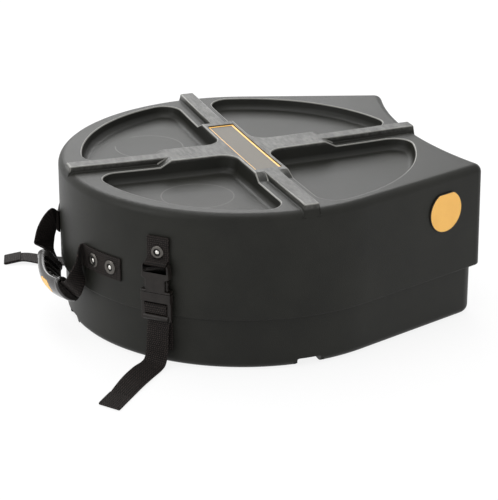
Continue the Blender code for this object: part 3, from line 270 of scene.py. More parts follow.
@dataclass(frozen=True)
class GrainedShell:
    """Black rotation-moulded polyethylene: pebbled, softly mottled, scuffed on its ribs, with
    painted sheen on its rib tops and a painted highlight ring.
    """

    name: str = "grained_black_polyethylene"
    colour: Triple = (0.0085, 0.0086, 0.007)
    mottle: Triple = (0.015, 0.0151, 0.0122)
    scuff: Triple = (0.2, 0.198, 0.186)
    grain: float = 1050.0
    grain_depth: float = 0.00022
    rough: float = 0.43
    rib_top: float = 0.1772
    ring_place: Triple = (0.0832, 0.086, 0.16)
    ring_radius: float = 0.0385
    ring_half: float = 0.00055

    def material(self) -> Material:
        """Build the material.

        Returns:
            The material.
        """
        recipe = Recipe(self.name)
        place = recipe.place()
        pebbles = recipe.cells(place, self.grain)
        fine = recipe.noise(place, self.grain * 1.9, 3.0, 0.6)
        wave = recipe.noise(place, 38.0, 3.0)
        cloud = recipe.noise(place, 11.0, 4.0, 0.6)
        height = (1 - pebbles) * 0.6 + fine * 0.55 + wave * 0.7
        normal = recipe.bump(height, self.grain_depth, 0.62)
        _, _, z = recipe.axes(place)
        streaks = recipe.noise(recipe.stretched(place, (1.0, 0.25, 1.0)), 210.0, 6.0, 0.7)
        # Rib and hub tops lightened in streaks: partly real scuffing, partly painted sheen
        # where the light falls on the tops.
        scuff_and_sheen_mask = z.ramp(self.rib_top - 0.004, self.rib_top) * streaks.ramp(0.15, 0.95)
        base = recipe.blend(cloud.ramp(0.3, 0.75), self.colour, self.mottle)
        base = recipe.blend((1 - pebbles) * 0.22, base, self.mottle)
        base = recipe.blend(scuff_and_sheen_mask * 0.6, base, self.scuff)
        # Painted highlight: a thin light ring standing for the light on a low disc's edge.
        base = recipe.blend(self.ring(recipe, place) * 0.3, base, self.scuff)
        rough = self.rough + (cloud - 0.5) * 0.09 + (fine - 0.5) * 0.12 - scuff_and_sheen_mask * 0.08
        return recipe.finish(base, rough, normal, Specular_IOR_Level=0.2)

    def ring(self, recipe: Recipe, place: Signal) -> Signal:
        """The thin light ring in the middle of the two pockets beside the handle: a painted
        highlight standing for the light on a low disc's edge.

        Args:
            recipe: The material.
            place: The point on the object.

        Returns:
            1 on the rings, else 0.
        """
        x, y, z = recipe.axes(place)
        across = x - AXIS.x + self.ring_place[0]
        along = abs(y - AXIS.y) - self.ring_place[1]
        away = abs((across * across + along * along) ** 0.5 - self.ring_radius)
        line = 1 - away.ramp(self.ring_half * 0.5, self.ring_half * 1.5)
        return line * (z < self.ring_place[2]) * (z > self.ring_place[2] - 0.006)


@dataclass(frozen=True)
class RibbedWebbing:
    """Dark polypropylene webbing, woven in ribs across, with a tight selvedge."""

    name: str = "ribbed_dark_webbing"
    # colour is painted into the weave's hollows and crest onto its crests: painted shade and
    # light on the relief.
    colour: Triple = (0.0036, 0.0028, 0.0025)
    crest: Triple = (0.036, 0.027, 0.0235)
    fluff: Triple = (0.07, 0.055, 0.048)
    rib: float = 0.0023
    yarn: float = 0.0024
    half_width: float = 0.0125
    depth: float = 0.00042

    def material(self) -> Material:
        """Build the material, by the metres along and across in the piece's UV map.

        Returns:
            The material.
        """
        recipe = Recipe(self.name)
        woven = recipe.node("ShaderNodeUVMap", {"uv_map": "webbing"})
        along, across, _ = recipe.axes(woven)
        place = recipe.place()
        jitter = recipe.noise(place, 420.0) * 0.0018
        turns = (along + jitter) * (math.tau / self.rib)
        yarns = (across + jitter * 0.8) * (math.tau / self.yarn)
        ribs = turns.sine() * 0.5 + 0.5
        strands = (yarns + (turns / 2).sine() * 1.2).sine() * 0.5 + 0.5
        weave = ribs * 0.2 + strands * 0.25 + ribs * strands * 0.7
        fibres = recipe.noise(place, 2600.0, 3.0, 0.65)
        selvedge = abs(across).ramp(self.half_width - 0.0016, self.half_width - 0.0008)
        height = weave * (1 - selvedge * 0.5) + fibres * 0.3
        normal = recipe.bump(height, self.depth, 0.9)
        # Painted light and shade: the weave's crests are painted lighter and its hollows
        # darker.
        base = recipe.blend(weave.ramp(0.35, 1.0), self.colour, self.crest)
        base = recipe.blend(fibres.ramp(0.6, 0.8) * 0.25, base, self.fluff)
        worn = recipe.noise(place, 45.0, 4.0, 0.6).ramp(0.45, 0.8)
        base = recipe.blend(worn * 0.08, base, self.fluff)
        rough = 0.62 + fibres * 0.2 - ribs * 0.06
        return recipe.finish(base, rough, normal, Sheen_Weight=0.02, Sheen_Roughness=0.45,
                             Specular_IOR_Level=0.16)


@dataclass(frozen=True)
class MouldedPlastic:
    """Satin or glossy moulded plastic, with faint flow marks and handling scratches."""

    name: str
    colour: Triple
    second: Triple
    rough: float
    coat: float = 0.0
    specular: float = 0.4

    def material(self) -> Material:
        """Build the material.

        Returns:
            The material.
        """
        recipe = Recipe(self.name)
        place = recipe.place()
        flow = recipe.noise(place, 120.0, 4.0, 0.55)
        fine = recipe.noise(place, 3200.0, 2.0, 0.6)
        lines = recipe.noise(recipe.stretched(place, (1.0, 0.12, 1.0)), 1800.0, 3.0, 0.7)
        scratched = lines.ramp(0.66, 0.8)
        base = recipe.blend(flow.ramp(0.3, 0.7), self.colour, self.second)
        base = recipe.blend(scratched * 0.12, base, self.second)
        rough = self.rough + (flow - 0.5) * 0.12 + scratched * 0.12 + (fine - 0.5) * 0.1
        normal = recipe.bump(fine * 0.5 + flow, 0.00006, 0.6)
        return recipe.finish(base, rough, normal, Coat_Weight=self.coat, Coat_Roughness=0.12,
                             Specular_IOR_Level=self.specular)


@dataclass(frozen=True)
class PlatedMetal:
    """Nickel plate with hairlines and a little tarnish."""

    name: str = "nickel_plate"
    colour: Triple = (0.72, 0.7, 0.66)
    tarnish: Triple = (0.5, 0.47, 0.43)
    rough: float = 0.19

    def material(self) -> Material:
        """Build the material.

        Returns:
            The material.
        """
        recipe = Recipe(self.name)
        place = recipe.place()
        hairs = recipe.noise(recipe.stretched(place, (1.0, 1.0, 0.15)), 2400.0, 3.0, 0.7)
        stain = recipe.noise(place, 420.0, 4.0, 0.6).ramp(0.5, 0.75)
        base = recipe.blend(stain * 0.35, self.colour, self.tarnish)
        rough = self.rough + hairs * 0.12 + stain * 0.1
        return recipe.finish(base, rough, recipe.bump(hairs, 0.00003, 0.5), 1.0)


@dataclass(frozen=True)
class GoldSheet:
    """Matt gold printed sheet."""

    name: str = "matt_gold_sheet"
    colour: Triple = (0.97, 0.53, 0.108)
    second: Triple = (0.9, 0.47, 0.09)
    rough: float = 0.42

    def material(self) -> Material:
        """Build the material.

        Returns:
            The material.
        """
        recipe = Recipe(self.name)
        place = recipe.place()
        cloud = recipe.noise(place, 55.0, 3.0)
        fine = recipe.noise(place, 2100.0, 3.0, 0.65)
        base = recipe.blend(cloud.ramp(0.3, 0.75) * 0.55, self.colour, self.second)
        base = recipe.blend(fine.ramp(0.55, 0.8) * 0.2, base, self.second)
        rough = self.rough + (fine - 0.5) * 0.16
        return recipe.finish(base, rough, recipe.bump(fine * 0.4 + cloud, 0.00005, 0.5))


@dataclass(frozen=True)
class PlateField:
    """The label's dark bronze field: brushed along its length, with a fine sparkle."""

    name: str = "bronze_label_field"
    colour: Triple = (0.04, 0.033, 0.022)
    bright: Triple = (0.095, 0.078, 0.05)
    rough: float = 0.4

    def material(self) -> Material:
        """Build the material.

        Returns:
            The material.
        """
        recipe = Recipe(self.name)
        place = recipe.place()
        brushed = recipe.noise(recipe.stretched(place, (1.0, 0.05, 1.0)), 2800.0, 4.0, 0.7)
        sparkle = recipe.noise(place, 3000.0, 1.0).ramp(0.62, 0.8)
        base = recipe.blend(brushed.ramp(0.3, 0.75), self.colour, self.bright)
        base = recipe.blend(sparkle * 0.35, base, (0.5, 0.42, 0.3))
        rough = self.rough + (brushed - 0.5) * 0.2
        return recipe.finish(base, rough, recipe.bump(brushed, 0.00004, 0.5),
                             Specular_IOR_Level=0.22)


@dataclass(frozen=True)
class CellFoam:
    """Dark closed-cell foam with fine pores, painted darker inside as shade."""

    name: str = "charcoal_foam"
    colour: Triple = (0.05, 0.05, 0.054)
    pore: Triple = (0.018, 0.018, 0.02)
    cell: float = 900.0

    def material(self) -> Material:
        """Build the material.

        Returns:
            The material.
        """
        recipe = Recipe(self.name)
        place = recipe.place()
        pores = recipe.cells(place, self.cell, 0.3)
        cloud = recipe.noise(place, 30.0, 4.0, 0.6)
        # Painted shade: the pores are painted darker, where shade falls in them.
        base = recipe.blend(pores.ramp(0.25, 0.6), self.pore, self.colour)
        base = recipe.blend(cloud * 0.3, base, self.colour)
        normal = recipe.bump(pores + cloud * 0.8, 0.0004, 0.7)
        return recipe.finish(base, 0.86 + cloud * 0.1, normal, Sheen_Weight=0.15)


class FinishSet:
    """Every finish of the case, each made once."""

    def __init__(self) -> None:
        """Make the materials."""
        self.shell = GrainedShell().material()
        # Lighter, glossier copy of the shell for the rounded edges: painted highlights along
        # the rims and ribs.
        self.edge = GrainedShell("burnished_shell_edges", (0.165, 0.163, 0.15),
                                 (0.24, 0.238, 0.222), (0.33, 0.327, 0.31),
                                 grain_depth=0.00006, rough=0.34).material()
        self.webbing = RibbedWebbing().material()
        self.buckle = MouldedPlastic("satin_buckle_nylon", (0.0108, 0.0086, 0.0074),
                                     (0.0165, 0.0134, 0.0117), 0.36, 0.0, 0.24).material()
        self.grip = MouldedPlastic("glossy_grip_plastic", (0.012, 0.0108, 0.01),
                                   (0.02, 0.018, 0.0168), 0.19, 0.55).material()
        self.nickel = PlatedMetal().material()
        # Darker copy of the nickel for rivet flanges, and a near-black finish for rivet wells:
        # both painted shade.
        self.flange = PlatedMetal("aged_nickel_flange", (0.115, 0.108, 0.1),
                                  (0.04, 0.037, 0.034), 0.24).material()
        self.well = MouldedPlastic("blackened_rivet_well", (0.006, 0.006, 0.006),
                                   (0.01, 0.01, 0.01), 0.6, 0.0, 0.2).material()
        self.gold = GoldSheet().material()
        self.ink = MouldedPlastic("printed_dark_line", (0.03, 0.022, 0.014),
                                  (0.05, 0.038, 0.024), 0.5).material()
        self.field_plate = PlateField().material()
        self.foam = CellFoam().material()


# Modelling by hand

class Shape:
    """One mesh under the modeller's hands, in metres from the drum's axis."""

    def __init__(self, obj: bpy.types.Object) -> None:
        """Take hold of a mesh object."""
        self.obj = obj

    @staticmethod
    def clear() -> None:
        """Leave edit mode and select nothing."""
        if bpy.context.mode != "OBJECT":
            bpy.ops.object.mode_set(mode="OBJECT")
        bpy.ops.object.select_all(action="DESELECT")

    @classmethod
    def primitive(cls, name: str, add: Callable[..., Any], **settings: Any) -> "Shape":
        """A primitive, with its transform applied.

        Args:
            name: Its name.
            add: The operator that adds it.
            **settings: The operator's properties.

        Returns:
            Its shape.
        """
        cls.clear()
        add(**settings)
        obj = bpy.context.object
        obj.name = name
        bpy.ops.object.transform_apply(location=True, rotation=True, scale=True)
        return cls(obj)

    @classmethod
    def slab(cls, name: str, outline: Sequence[Vector], rise: Vector,
             upper: Optional[Sequence[Vector]] = None) -> "Shape":
        """A solid drawn out from an outline.

        Args:
            name: Its name.
            outline: The outline's points, in order.
            rise: How far and which way it is drawn out.
            upper: The points of its far face, where they differ.

        Returns:
            The solid.
        """
        shape = cls.primitive(name, bpy.ops.mesh.primitive_circle_add,
                              vertices=len(outline), fill_type="NGON")
        shape.trace(outline)
        with shape.editing():
            bpy.ops.mesh.extrude_region_move(TRANSFORM_OT_translate={"value": tuple(rise)})
            bpy.ops.mesh.select_all(action="SELECT")
            bpy.ops.mesh.normals_make_consistent(inside=False)
        if upper is not None:
            for vertex in shape.obj.data.vertices[len(outline):]:
                spot = vertex.co - rise
                below = min(range(len(outline)), key=lambda i: (outline[i] - spot).length)
                vertex.co = upper[below]
            shape.obj.data.update()
        return shape

    @classmethod
    def block(cls, name: str, low: Triple, high: Triple,
              top_scale: Pair = (1.0, 1.0)) -> "Shape":
        """A block whose top may be drawn in.

        Args:
            name: Its name.
            low: Its lowest corner.
            high: Its highest corner.
            top_scale: The scale of its top face along X and Y.

        Returns:
            The block.
        """
        middle = [(a + b) / 2 for a, b in zip(low, high)]
        size = [b - a for a, b in zip(low, high)]
        shape = cls.primitive(name, bpy.ops.mesh.primitive_cube_add, size=1.0,
                              location=middle, scale=size)
        shape.snap(low[2], high[2])
        if top_scale != (1.0, 1.0):
            with shape.editing(Part.FACE, facing_up):
                bpy.ops.transform.resize(value=(*top_scale, 1.0),
                                         center_override=(middle[0], middle[1], high[2]))
            shape.snap(low[2], high[2])
        return shape

    @classmethod
    def drum(cls, name: str, radius: float, low: float, high: float, sides: int) -> "Shape":
        """An upright round block on the axis.

        Args:
            name: Its name.
            radius: Its radius.
            low: The height of its underside.
            high: The height of its top.
            sides: Its sides.

        Returns:
            The block.
        """
        shape = cls.primitive(name, bpy.ops.mesh.primitive_cylinder_add, vertices=sides,
                              radius=radius, depth=high - low,
                              location=(0.0, 0.0, (low + high) / 2))
        return shape.snap(low, high)

    @classmethod
    def lathe(cls, name: str, profile: Sequence[Pair], foot: Vector, axis: Vector,
              steps: int = 40) -> "Shape":
        """A turned solid, spun from a profile that starts and ends on its axis.

        Args:
            name: Its name.
            profile: Points as (distance from the axis, distance along it).
            foot: The point on the axis that the profile counts from.
            axis: The direction of the axis.
            steps: The steps of the spin.

        Returns:
            The solid.
        """
        last = len(profile) - 1
        shape = cls.primitive(name, bpy.ops.mesh.primitive_circle_add, vertices=last + 1,
                              fill_type="NOTHING")
        shape.trace([(out, 0.0, along) for out, along in profile])
        with shape.editing(Part.EDGE, lambda edge: {v.index for v in edge.verts} == {0, last}):
            bpy.ops.mesh.delete(type="EDGE")
            bpy.ops.mesh.select_all(action="SELECT")
            bpy.ops.mesh.spin(steps=steps, angle=math.tau, center=(0, 0, 0), axis=(0, 0, 1))
            bpy.ops.mesh.select_all(action="SELECT")
            bpy.ops.mesh.remove_doubles(threshold=DOUBLED)
            bpy.ops.mesh.normals_make_consistent(inside=False)
        turn = axis.to_track_quat("Z", "Y").to_matrix().to_4x4()
        shape.obj.data.transform(Matrix.Translation(foot) @ turn)
        return shape

    @classmethod
    def loft(cls, name: str, rings: Sequence[Sequence[Vector]]) -> "Shape":
        """A solid skinned over rings of points and closed at both ends.

        Args:
            name: Its name.
            rings: The rings, all with the same number of points.

        Returns:
            The solid.
        """
        sides, spans = len(rings[0]), len(rings) - 1
        shape = cls.primitive(name, bpy.ops.mesh.primitive_grid_add, x_subdivisions=sides,
                              y_subdivisions=spans, size=1.0)
        shape.reshape(lambda point: rings[round((point.y + 0.5) * spans)][
            round((point.x + 0.5) * sides) % sides])
        with shape.editing():
            bpy.ops.mesh.remove_doubles(threshold=DOUBLED)
            bpy.ops.mesh.fill_holes(sides=0)
            bpy.ops.mesh.normals_make_consistent(inside=False)
        return shape

    @classmethod
    def from_node(cls, node: str) -> "Shape":
        """A merged copy of a CAD node, moved to the drum's axis.

        Args:
            node: The CAD node.

        Returns:
            The copy.
        """
        cls.clear()
        obj = bpy.data.objects.new(node + "_form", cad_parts[node].data.copy())
        bpy.context.scene.collection.objects.link(obj)
        obj.data.transform(Matrix.Translation(-AXIS))
        return cls(obj).tidy(0.00001, 0.6)

    def trace(self, points: Sequence[Sequence[float]]) -> None:
        """Set the points one by one."""
        for vertex, point in zip(self.obj.data.vertices, points):
            vertex.co = point

    def snap(self, low: float, high: float) -> "Shape":
        """Set the points exactly on the nearer of two heights."""
        return self.reshape(lambda point: Vector((
            *point.xy, low if point.z < (low + high) / 2 else high)))

    def activate(self) -> None:
        """Select this object alone."""
        self.clear()
        self.obj.select_set(True)
        bpy.context.view_layer.objects.active = self.obj

    @contextmanager
    def editing(self, part: Optional[Part] = None, test: Optional[Test] = None) \
            -> Iterator[int]:
        """Edit mode with all of it selected, or the faces or edges that pass a test.

        Args:
            part: What is picked.
            test: Whether one is wanted.

        Yields:
            How many are picked.
        """
        self.activate()
        bpy.ops.object.mode_set(mode="EDIT")
        chosen: list[Any] = []
        if part is None:
            bpy.ops.mesh.select_all(action="SELECT")
        else:
            bpy.ops.mesh.select_mode(type=part.value)
            bpy.ops.mesh.select_all(action="DESELECT")
            mesh = bmesh.from_edit_mesh(self.obj.data)
            mesh.normal_update()
            items = mesh.faces if part is Part.FACE else mesh.edges
            chosen = [item for item in items if test(item)]
            for item in chosen:
                item.select_set(True)
            mesh.select_flush_mode()
            bmesh.update_edit_mesh(self.obj.data)
        yield len(chosen)
        bpy.ops.object.mode_set(mode="OBJECT")

    def bevel(self, width: float, segments: int, test: Test) -> "Shape":
        """Round some edges over.

        Args:
            width: How far the round reaches from each edge.
            segments: Its facets.
            test: Which edges are rounded.

        Returns:
            This shape.
        """
        with self.editing(Part.EDGE, test) as count:
            if count:
                bpy.ops.mesh.bevel(offset=width, segments=segments, affect="EDGES",
                                   clamp_overlap=False)
        return self

    def extrude(self, move: Vector, test: Test, scale: float = 1.0) -> None:
        """Draw some faces out.

        Args:
            move: How far and which way.
            test: Which faces.
            scale: Their scale afterwards, about their middle.
        """
        with self.editing(Part.FACE, test):
            bpy.ops.mesh.extrude_region_move(TRANSFORM_OT_translate={"value": tuple(move)})
            if scale != 1.0:
                bpy.ops.transform.resize(value=(scale, scale, scale))

    def inset(self, width: float, depth: float, test: Test) -> None:
        """Inset some faces by a border's width and raise them by a depth."""
        with self.editing(Part.FACE, test):
            bpy.ops.mesh.inset(thickness=width, depth=depth, use_even_offset=True)

    def slice(self, places: Sequence[float], axis: Vector, test: Test) -> None:
        """Bisect some faces by planes across an axis.

        Args:
            places: Where the planes stand along the axis.
            axis: The axis.
            test: Which faces.
        """
        for place in places:
            with self.editing(Part.FACE, test) as count:
                if count:
                    bpy.ops.mesh.bisect(plane_co=tuple(axis * place), plane_no=tuple(axis))

    def paint(self, index: int, test: Test) -> None:
        """Give some faces another of the piece's materials.

        Args:
            index: The material's number.
            test: Which faces.
        """
        with self.editing(Part.FACE, test):
            mesh = bmesh.from_edit_mesh(self.obj.data)
            for face in mesh.faces:
                if face.select:
                    face.material_index = index
            bmesh.update_edit_mesh(self.obj.data)

    def reshape(self, rule: Callable[[Vector], Vector]) -> "Shape":
        """Move every point by a rule.

        Args:
            rule: A point's new place.

        Returns:
            This shape.
        """
        for vertex in self.obj.data.vertices:
            vertex.co = rule(vertex.co)
        self.obj.data.update()
        return self

    def modify(self, kind: str, **settings: Any) -> "Shape":
        """Add a modifier and apply it.

        Args:
            kind: The modifier's type.
            **settings: Its properties.

        Returns:
            This shape.
        """
        self.activate()
        modifier = self.obj.modifiers.new(kind.lower(), kind)
        for key, value in settings.items():
            setattr(modifier, key, value)
        bpy.ops.object.modifier_apply(modifier=modifier.name)
        return self

    def combine(self, operation: str, others: Sequence["Shape"]) -> "Shape":
        """Combine with other solids, which are used up.

        Args:
            operation: The Boolean modifier's operation.
            others: The other solids.

        Returns:
            This shape.
        """
        for shape in (self, *others):
            with shape.editing():
                bpy.ops.mesh.vert_connect_nonplanar(angle_limit=math.radians(0.05))
        for other in others:
            self.modify("BOOLEAN", operation=operation, solver="MANIFOLD", object=other.obj)
            bpy.data.objects.remove(other.obj)
        return self

    def cut(self, *others: "Shape") -> "Shape":
        """Take other solids away."""
        return self.combine("DIFFERENCE", others)

    def fuse(self, *others: "Shape") -> "Shape":
        """Add other solids."""
        return self.combine("UNION", others)

    def tidy(self, reach: float = 0.000005, angle: float = 0.2) -> "Shape":
        """Merge doubled points and join flat facets into one face.

        Args:
            reach: How close two points are to be merged.
            angle: How flat facets are to be joined, in degrees.

        Returns:
            This shape.
        """
        with self.editing():
            bpy.ops.mesh.remove_doubles(threshold=reach)
            bpy.ops.mesh.dissolve_limited(angle_limit=math.radians(angle))
        return self

    def carry(self, *materials: Material) -> "Shape":
        """Give it materials.

        Args:
            *materials: The materials, after those that it has.

        Returns:
            This shape.
        """
        for material in materials:
            self.obj.data.materials.append(material)
        return self

    def soften(self, width: float, segments: int = 3, angle: float = 35.0,
               material: int = -1, clamp: bool = False) -> "Shape":
        """Round every edge that is sharper than an angle.

        Args:
            width: How far the round reaches.
            segments: Its facets.
            angle: The angle in degrees.
            material: The number of the rounds' material, or -1 for their neighbours'.
            clamp: Whether the rounds shrink to fit the shortest edge.

        Returns:
            This shape.
        """
        return self.modify("BEVEL", width=width, segments=segments, limit_method="ANGLE",
                           angle_limit=math.radians(angle), miter_outer="MITER_ARC",
                           material=material, use_clamp_overlap=clamp)

    def smooth(self, angle: float) -> "Shape":
        """Shade smoothly, except at edges sharper than an angle.

        Args:
            angle: The angle in degrees.

        Returns:
            This shape.
        """
        self.activate()
        bpy.ops.object.shade_smooth_by_angle(angle=math.radians(angle))
        return self

    def seat(self, body: Optional[Body | str], slot: Slot, materials: Sequence[Material],
             replaces: Sequence[str], flat: bool = True) -> bpy.types.Object:
        """Set the finished piece in the row's frame, with its materials and its body.

        Args:
            body: The body that it rides on, or None for a piece that is attached to no body.
            slot: Its material slot in the record; not used.
            materials: Its materials, in the order of its faces' numbers.
            replaces: The CAD nodes that it stands for.
            flat: Whether flat faces keep their own normals beside rounds.

        Returns:
            The object.
        """
        mesh = self.obj.data
        mesh.transform(Matrix.Translation(AXIS))
        if flat:
            self.modify("WEIGHTED_NORMAL", keep_sharp=True, weight=80)
        indices = [face.material_index for face in mesh.polygons]
        mesh.materials.clear()
        self.carry(*materials)
        for face, index in zip(mesh.polygons, indices):
            face.material_index = min(index, len(materials) - 1)
        if body is not None:
            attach(self.obj, body.value if isinstance(body, Body) else body)
        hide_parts(*replaces)
        log.info("%s: %d points", self.obj.name, len(mesh.vertices))
        return self.obj

    def seat_foam(self, body: Body, finishes: FinishSet, node: str) -> None:
        """Seat a piece of foam, which stands for a CAD node."""
        self.seat(body, Slot.FOAM, [finishes.foam], [node])


def facing_up(face: Face) -> bool:
    """Whether a face looks up."""
    return face.normal.z > 0.9


def at_level(level: float) -> Test:
    """A test for the edges that lie at a height."""
    return lambda edge: all(abs(v.co.z - level) < SAME_LEVEL for v in edge.verts)


def anything(item: Any) -> bool:
    """A test that everything passes."""
    return True


# Measures that several sub-assemblies share

def arc(middle: Pair, radius: float, start: float, end: float, steps: int) -> list[Vector]:
    """Points of a level arc, both ends included.

    Args:
        middle: The arc's middle.
        radius: Its radius.
        start: Its first angle, in radians.
        end: Its last angle.
        steps: Its steps.

    Returns:
        The points.
    """
    turns = [start + (end - start) * i / steps for i in range(steps + 1)]
    return [Vector((middle[0] + radius * math.cos(turn), middle[1] + radius * math.sin(turn),
                    0.0)) for turn in turns]


@dataclass(frozen=True)
class CasePlan:
    """The case's plan and the lid's lines: a circle whose flanks run on to two feet."""

    radius: float = 0.205
    foot_reach: float = 0.228
    foot_half_width: float = 0.138
    end_dip: float = 0.024
    rim: float = 0.1735
    lid_edge: float = 0.0577
    rib_top: float = 0.1803
    sag_depth: float = 0.003
    sag_radius: float = 0.19
    lid_wall: float = 0.003
    lid_flare: float = 0.0012
    lid_round: float = 0.009
    pocket_floor: float = 0.161
    base_inset: float = 0.0036
    circle_steps: int = 88
    end_steps: int = 24
    corner_steps: int = 8

    @property
    def flank(self) -> float:
        """The angle that the far flank faces.

        Returns:
            The angle in radians.
        """
        reach = math.hypot(self.foot_reach, self.foot_half_width)
        turn = math.atan2(self.foot_half_width, self.foot_reach)
        return turn + math.acos(self.radius / reach)

    def outline(self, inset: float, corner: float, level: float) -> list[Vector]:
        """The plan moved in by an inset.

        Args:
            inset: How far it stands in.
            corner: The radius of its two corners.
            level: Its height.

        Returns:
            The outline's points.
        """
        flank = self.flank
        normal = Vector((math.cos(flank), math.sin(flank), 0.0))
        along = Vector((math.sin(flank), -math.cos(flank), 0.0))
        end_radius = (self.foot_half_width ** 2 + self.end_dip ** 2) / (2 * self.end_dip)
        end_middle = Vector((self.foot_reach - self.end_dip + end_radius, 0.0, 0.0))
        seat = normal * (self.radius - inset - corner)
        far = end_radius + inset + corner
        across = along.dot(seat - end_middle)
        spare = across ** 2 - (seat - end_middle).length_squared + far ** 2
        travel = -across - math.sqrt(spare)
        corner_middle = seat + along * travel
        to_end = end_middle - corner_middle
        end_turn = math.atan2(corner_middle.y, corner_middle.x - end_middle.x)
        upper = arc(end_middle.xy, end_radius + inset, math.pi, end_turn, self.end_steps)
        upper += arc(corner_middle.xy, corner, math.atan2(to_end.y, to_end.x), flank,
                     self.corner_steps)[1:]
        upper += arc((0.0, 0.0), self.radius - inset, flank, math.pi, self.circle_steps)
        lower = [Vector((point.x, -point.y, 0.0)) for point in reversed(upper[1:-1])]
        return [point + UP * level for point in upper + lower]

    def sag(self, point: Vector) -> Vector:
        """A point of the lid's top after it has sunk."""
        share = max(1 - (point.x ** 2 + point.y ** 2) / self.sag_radius ** 2, 0.0)
        return point - UP * (self.sag_depth * share)

    def wall_radius(self, level: float) -> float:
        """The outer radius of the lid's wall, kept below its lower edge.

        Args:
            level: The height that it is asked for.

        Returns:
            The radius.
        """
        top = self.rim - self.lid_round
        share = (top - max(level, self.lid_edge)) / (top - self.lid_edge)
        return self.radius + self.lid_flare * max(share, 0.0)


PLAN = CasePlan()


@dataclass(frozen=True)
class WallPlace:
    """A place round the wall, from which pieces are laid out across, out and up."""

    angle: float

    @property
    def out(self) -> Vector:
        """The direction out of the wall."""
        turn = math.radians(self.angle)
        return Vector((math.cos(turn), math.sin(turn), 0.0))

    @property
    def across(self) -> Vector:
        """The level direction along the wall."""
        return Vector((-self.out.y, self.out.x, 0.0))

    def point(self, across: float, out: float, level: float) -> Vector:
        """A point by its distances along the lid's wall, out of it and above the floor."""
        radius = PLAN.wall_radius(level) + out
        return self.out * radius + self.across * across + UP * level

    def plate(self, name: str, outline: Sequence[Pair], back: float, front: float) -> Shape:
        """A plate that stands on the wall.

        Args:
            name: Its name.
            outline: Its outline as (across, height).
            back: The distance of its back from the wall.
            front: The distance of its front.

        Returns:
            The plate.
        """
        points = [self.point(across, back, level) for across, level in outline]
        return Shape.slab(name, points, self.out * (front - back))


def smooth_route(rows: Rows, steps: int) -> list[tuple[float, ...]]:
    """A smooth curve through rows of numbers.

    Args:
        rows: The rows, all of one length.
        steps: The steps between two rows.

    Returns:
        The rows of the curve.
    """
    ends = [rows[0], *rows, rows[-1]]
    route = []
    for places in zip(ends, ends[1:], ends[2:], ends[3:]):
        for t in (i / steps for i in range(steps)):
            at = []
            for a, b, c, d in zip(*places):
                bend = (2 * a - 5 * b + 4 * c - d) * t ** 2 + (3 * b - a - 3 * c + d) * t ** 3
                at.append(b + (c - a) * t / 2 + bend / 2)
            route.append(tuple(at))
    return route + [tuple(rows[-1])]


@dataclass
class Ribbon:
    """A length of webbing: a grid laid along a route, thickened, with rounded selvedges."""

    name: str
    thickness: float = 0.0014
    width: float = 0.025
    columns: int = 8

    def lay(self, route: Rows) -> Shape:
        """Build the webbing, with metres along and across in its UV map.

        Args:
            route: Rows of its middle, its width's direction and its width.

        Returns:
            The webbing.
        """
        last = len(route) - 1
        shape = Shape.primitive(self.name, bpy.ops.mesh.primitive_grid_add,
                                x_subdivisions=self.columns, y_subdivisions=last, size=1.0)
        centres = [Vector(row[:3]) for row in route]
        widest = max(row[6] for row in route)
        lengths = [0.0]
        for start, end in zip(centres, centres[1:]):
            lengths.append(lengths[-1] + (end - start).length)
        flat: list[Pair] = []
        mesh = shape.obj.data
        for vertex in mesh.vertices:
            share, i = vertex.co.x, round((vertex.co.y + 0.5) * last)
            side = Vector(route[i][3:6]).normalized()
            vertex.co = centres[i] + side * (share * route[i][6])
            flat.append((lengths[i], share * widest))
        mesh.update()
        layer = mesh.uv_layers[0]
        layer.name = "webbing"
        for loop in mesh.loops:
            layer.data[loop.index].uv = flat[loop.vertex_index]
        shape.modify("SOLIDIFY", thickness=self.thickness, offset=0.0)
        shape.modify("BEVEL", width=self.thickness * 0.34, segments=2, limit_method="ANGLE",
                     angle_limit=math.radians(60))
        return shape.smooth(50)

    def along_wall(self, place: WallPlace, rows: Rows, steps: int) -> Shape:
        """Lay it at a place on the wall.

        Args:
            place: The place.
            rows: Across, out, height, roll and turn; the last two may be left out.
            steps: The steps between two rows.

        Returns:
            The webbing.
        """
        route = []
        for across, out, level, roll, turn in smooth_route(
                [(*row, 0.0, 0.0)[:5] for row in rows], steps):
            swing, tilt = math.radians(turn), math.radians(roll)
            flat = place.across * math.cos(swing) + place.out * math.sin(swing)
            side = flat * math.cos(tilt) + UP * math.sin(tilt)
            route.append((*place.point(across, out, level), *side, self.width))
        return self.lay(route)


# Lid

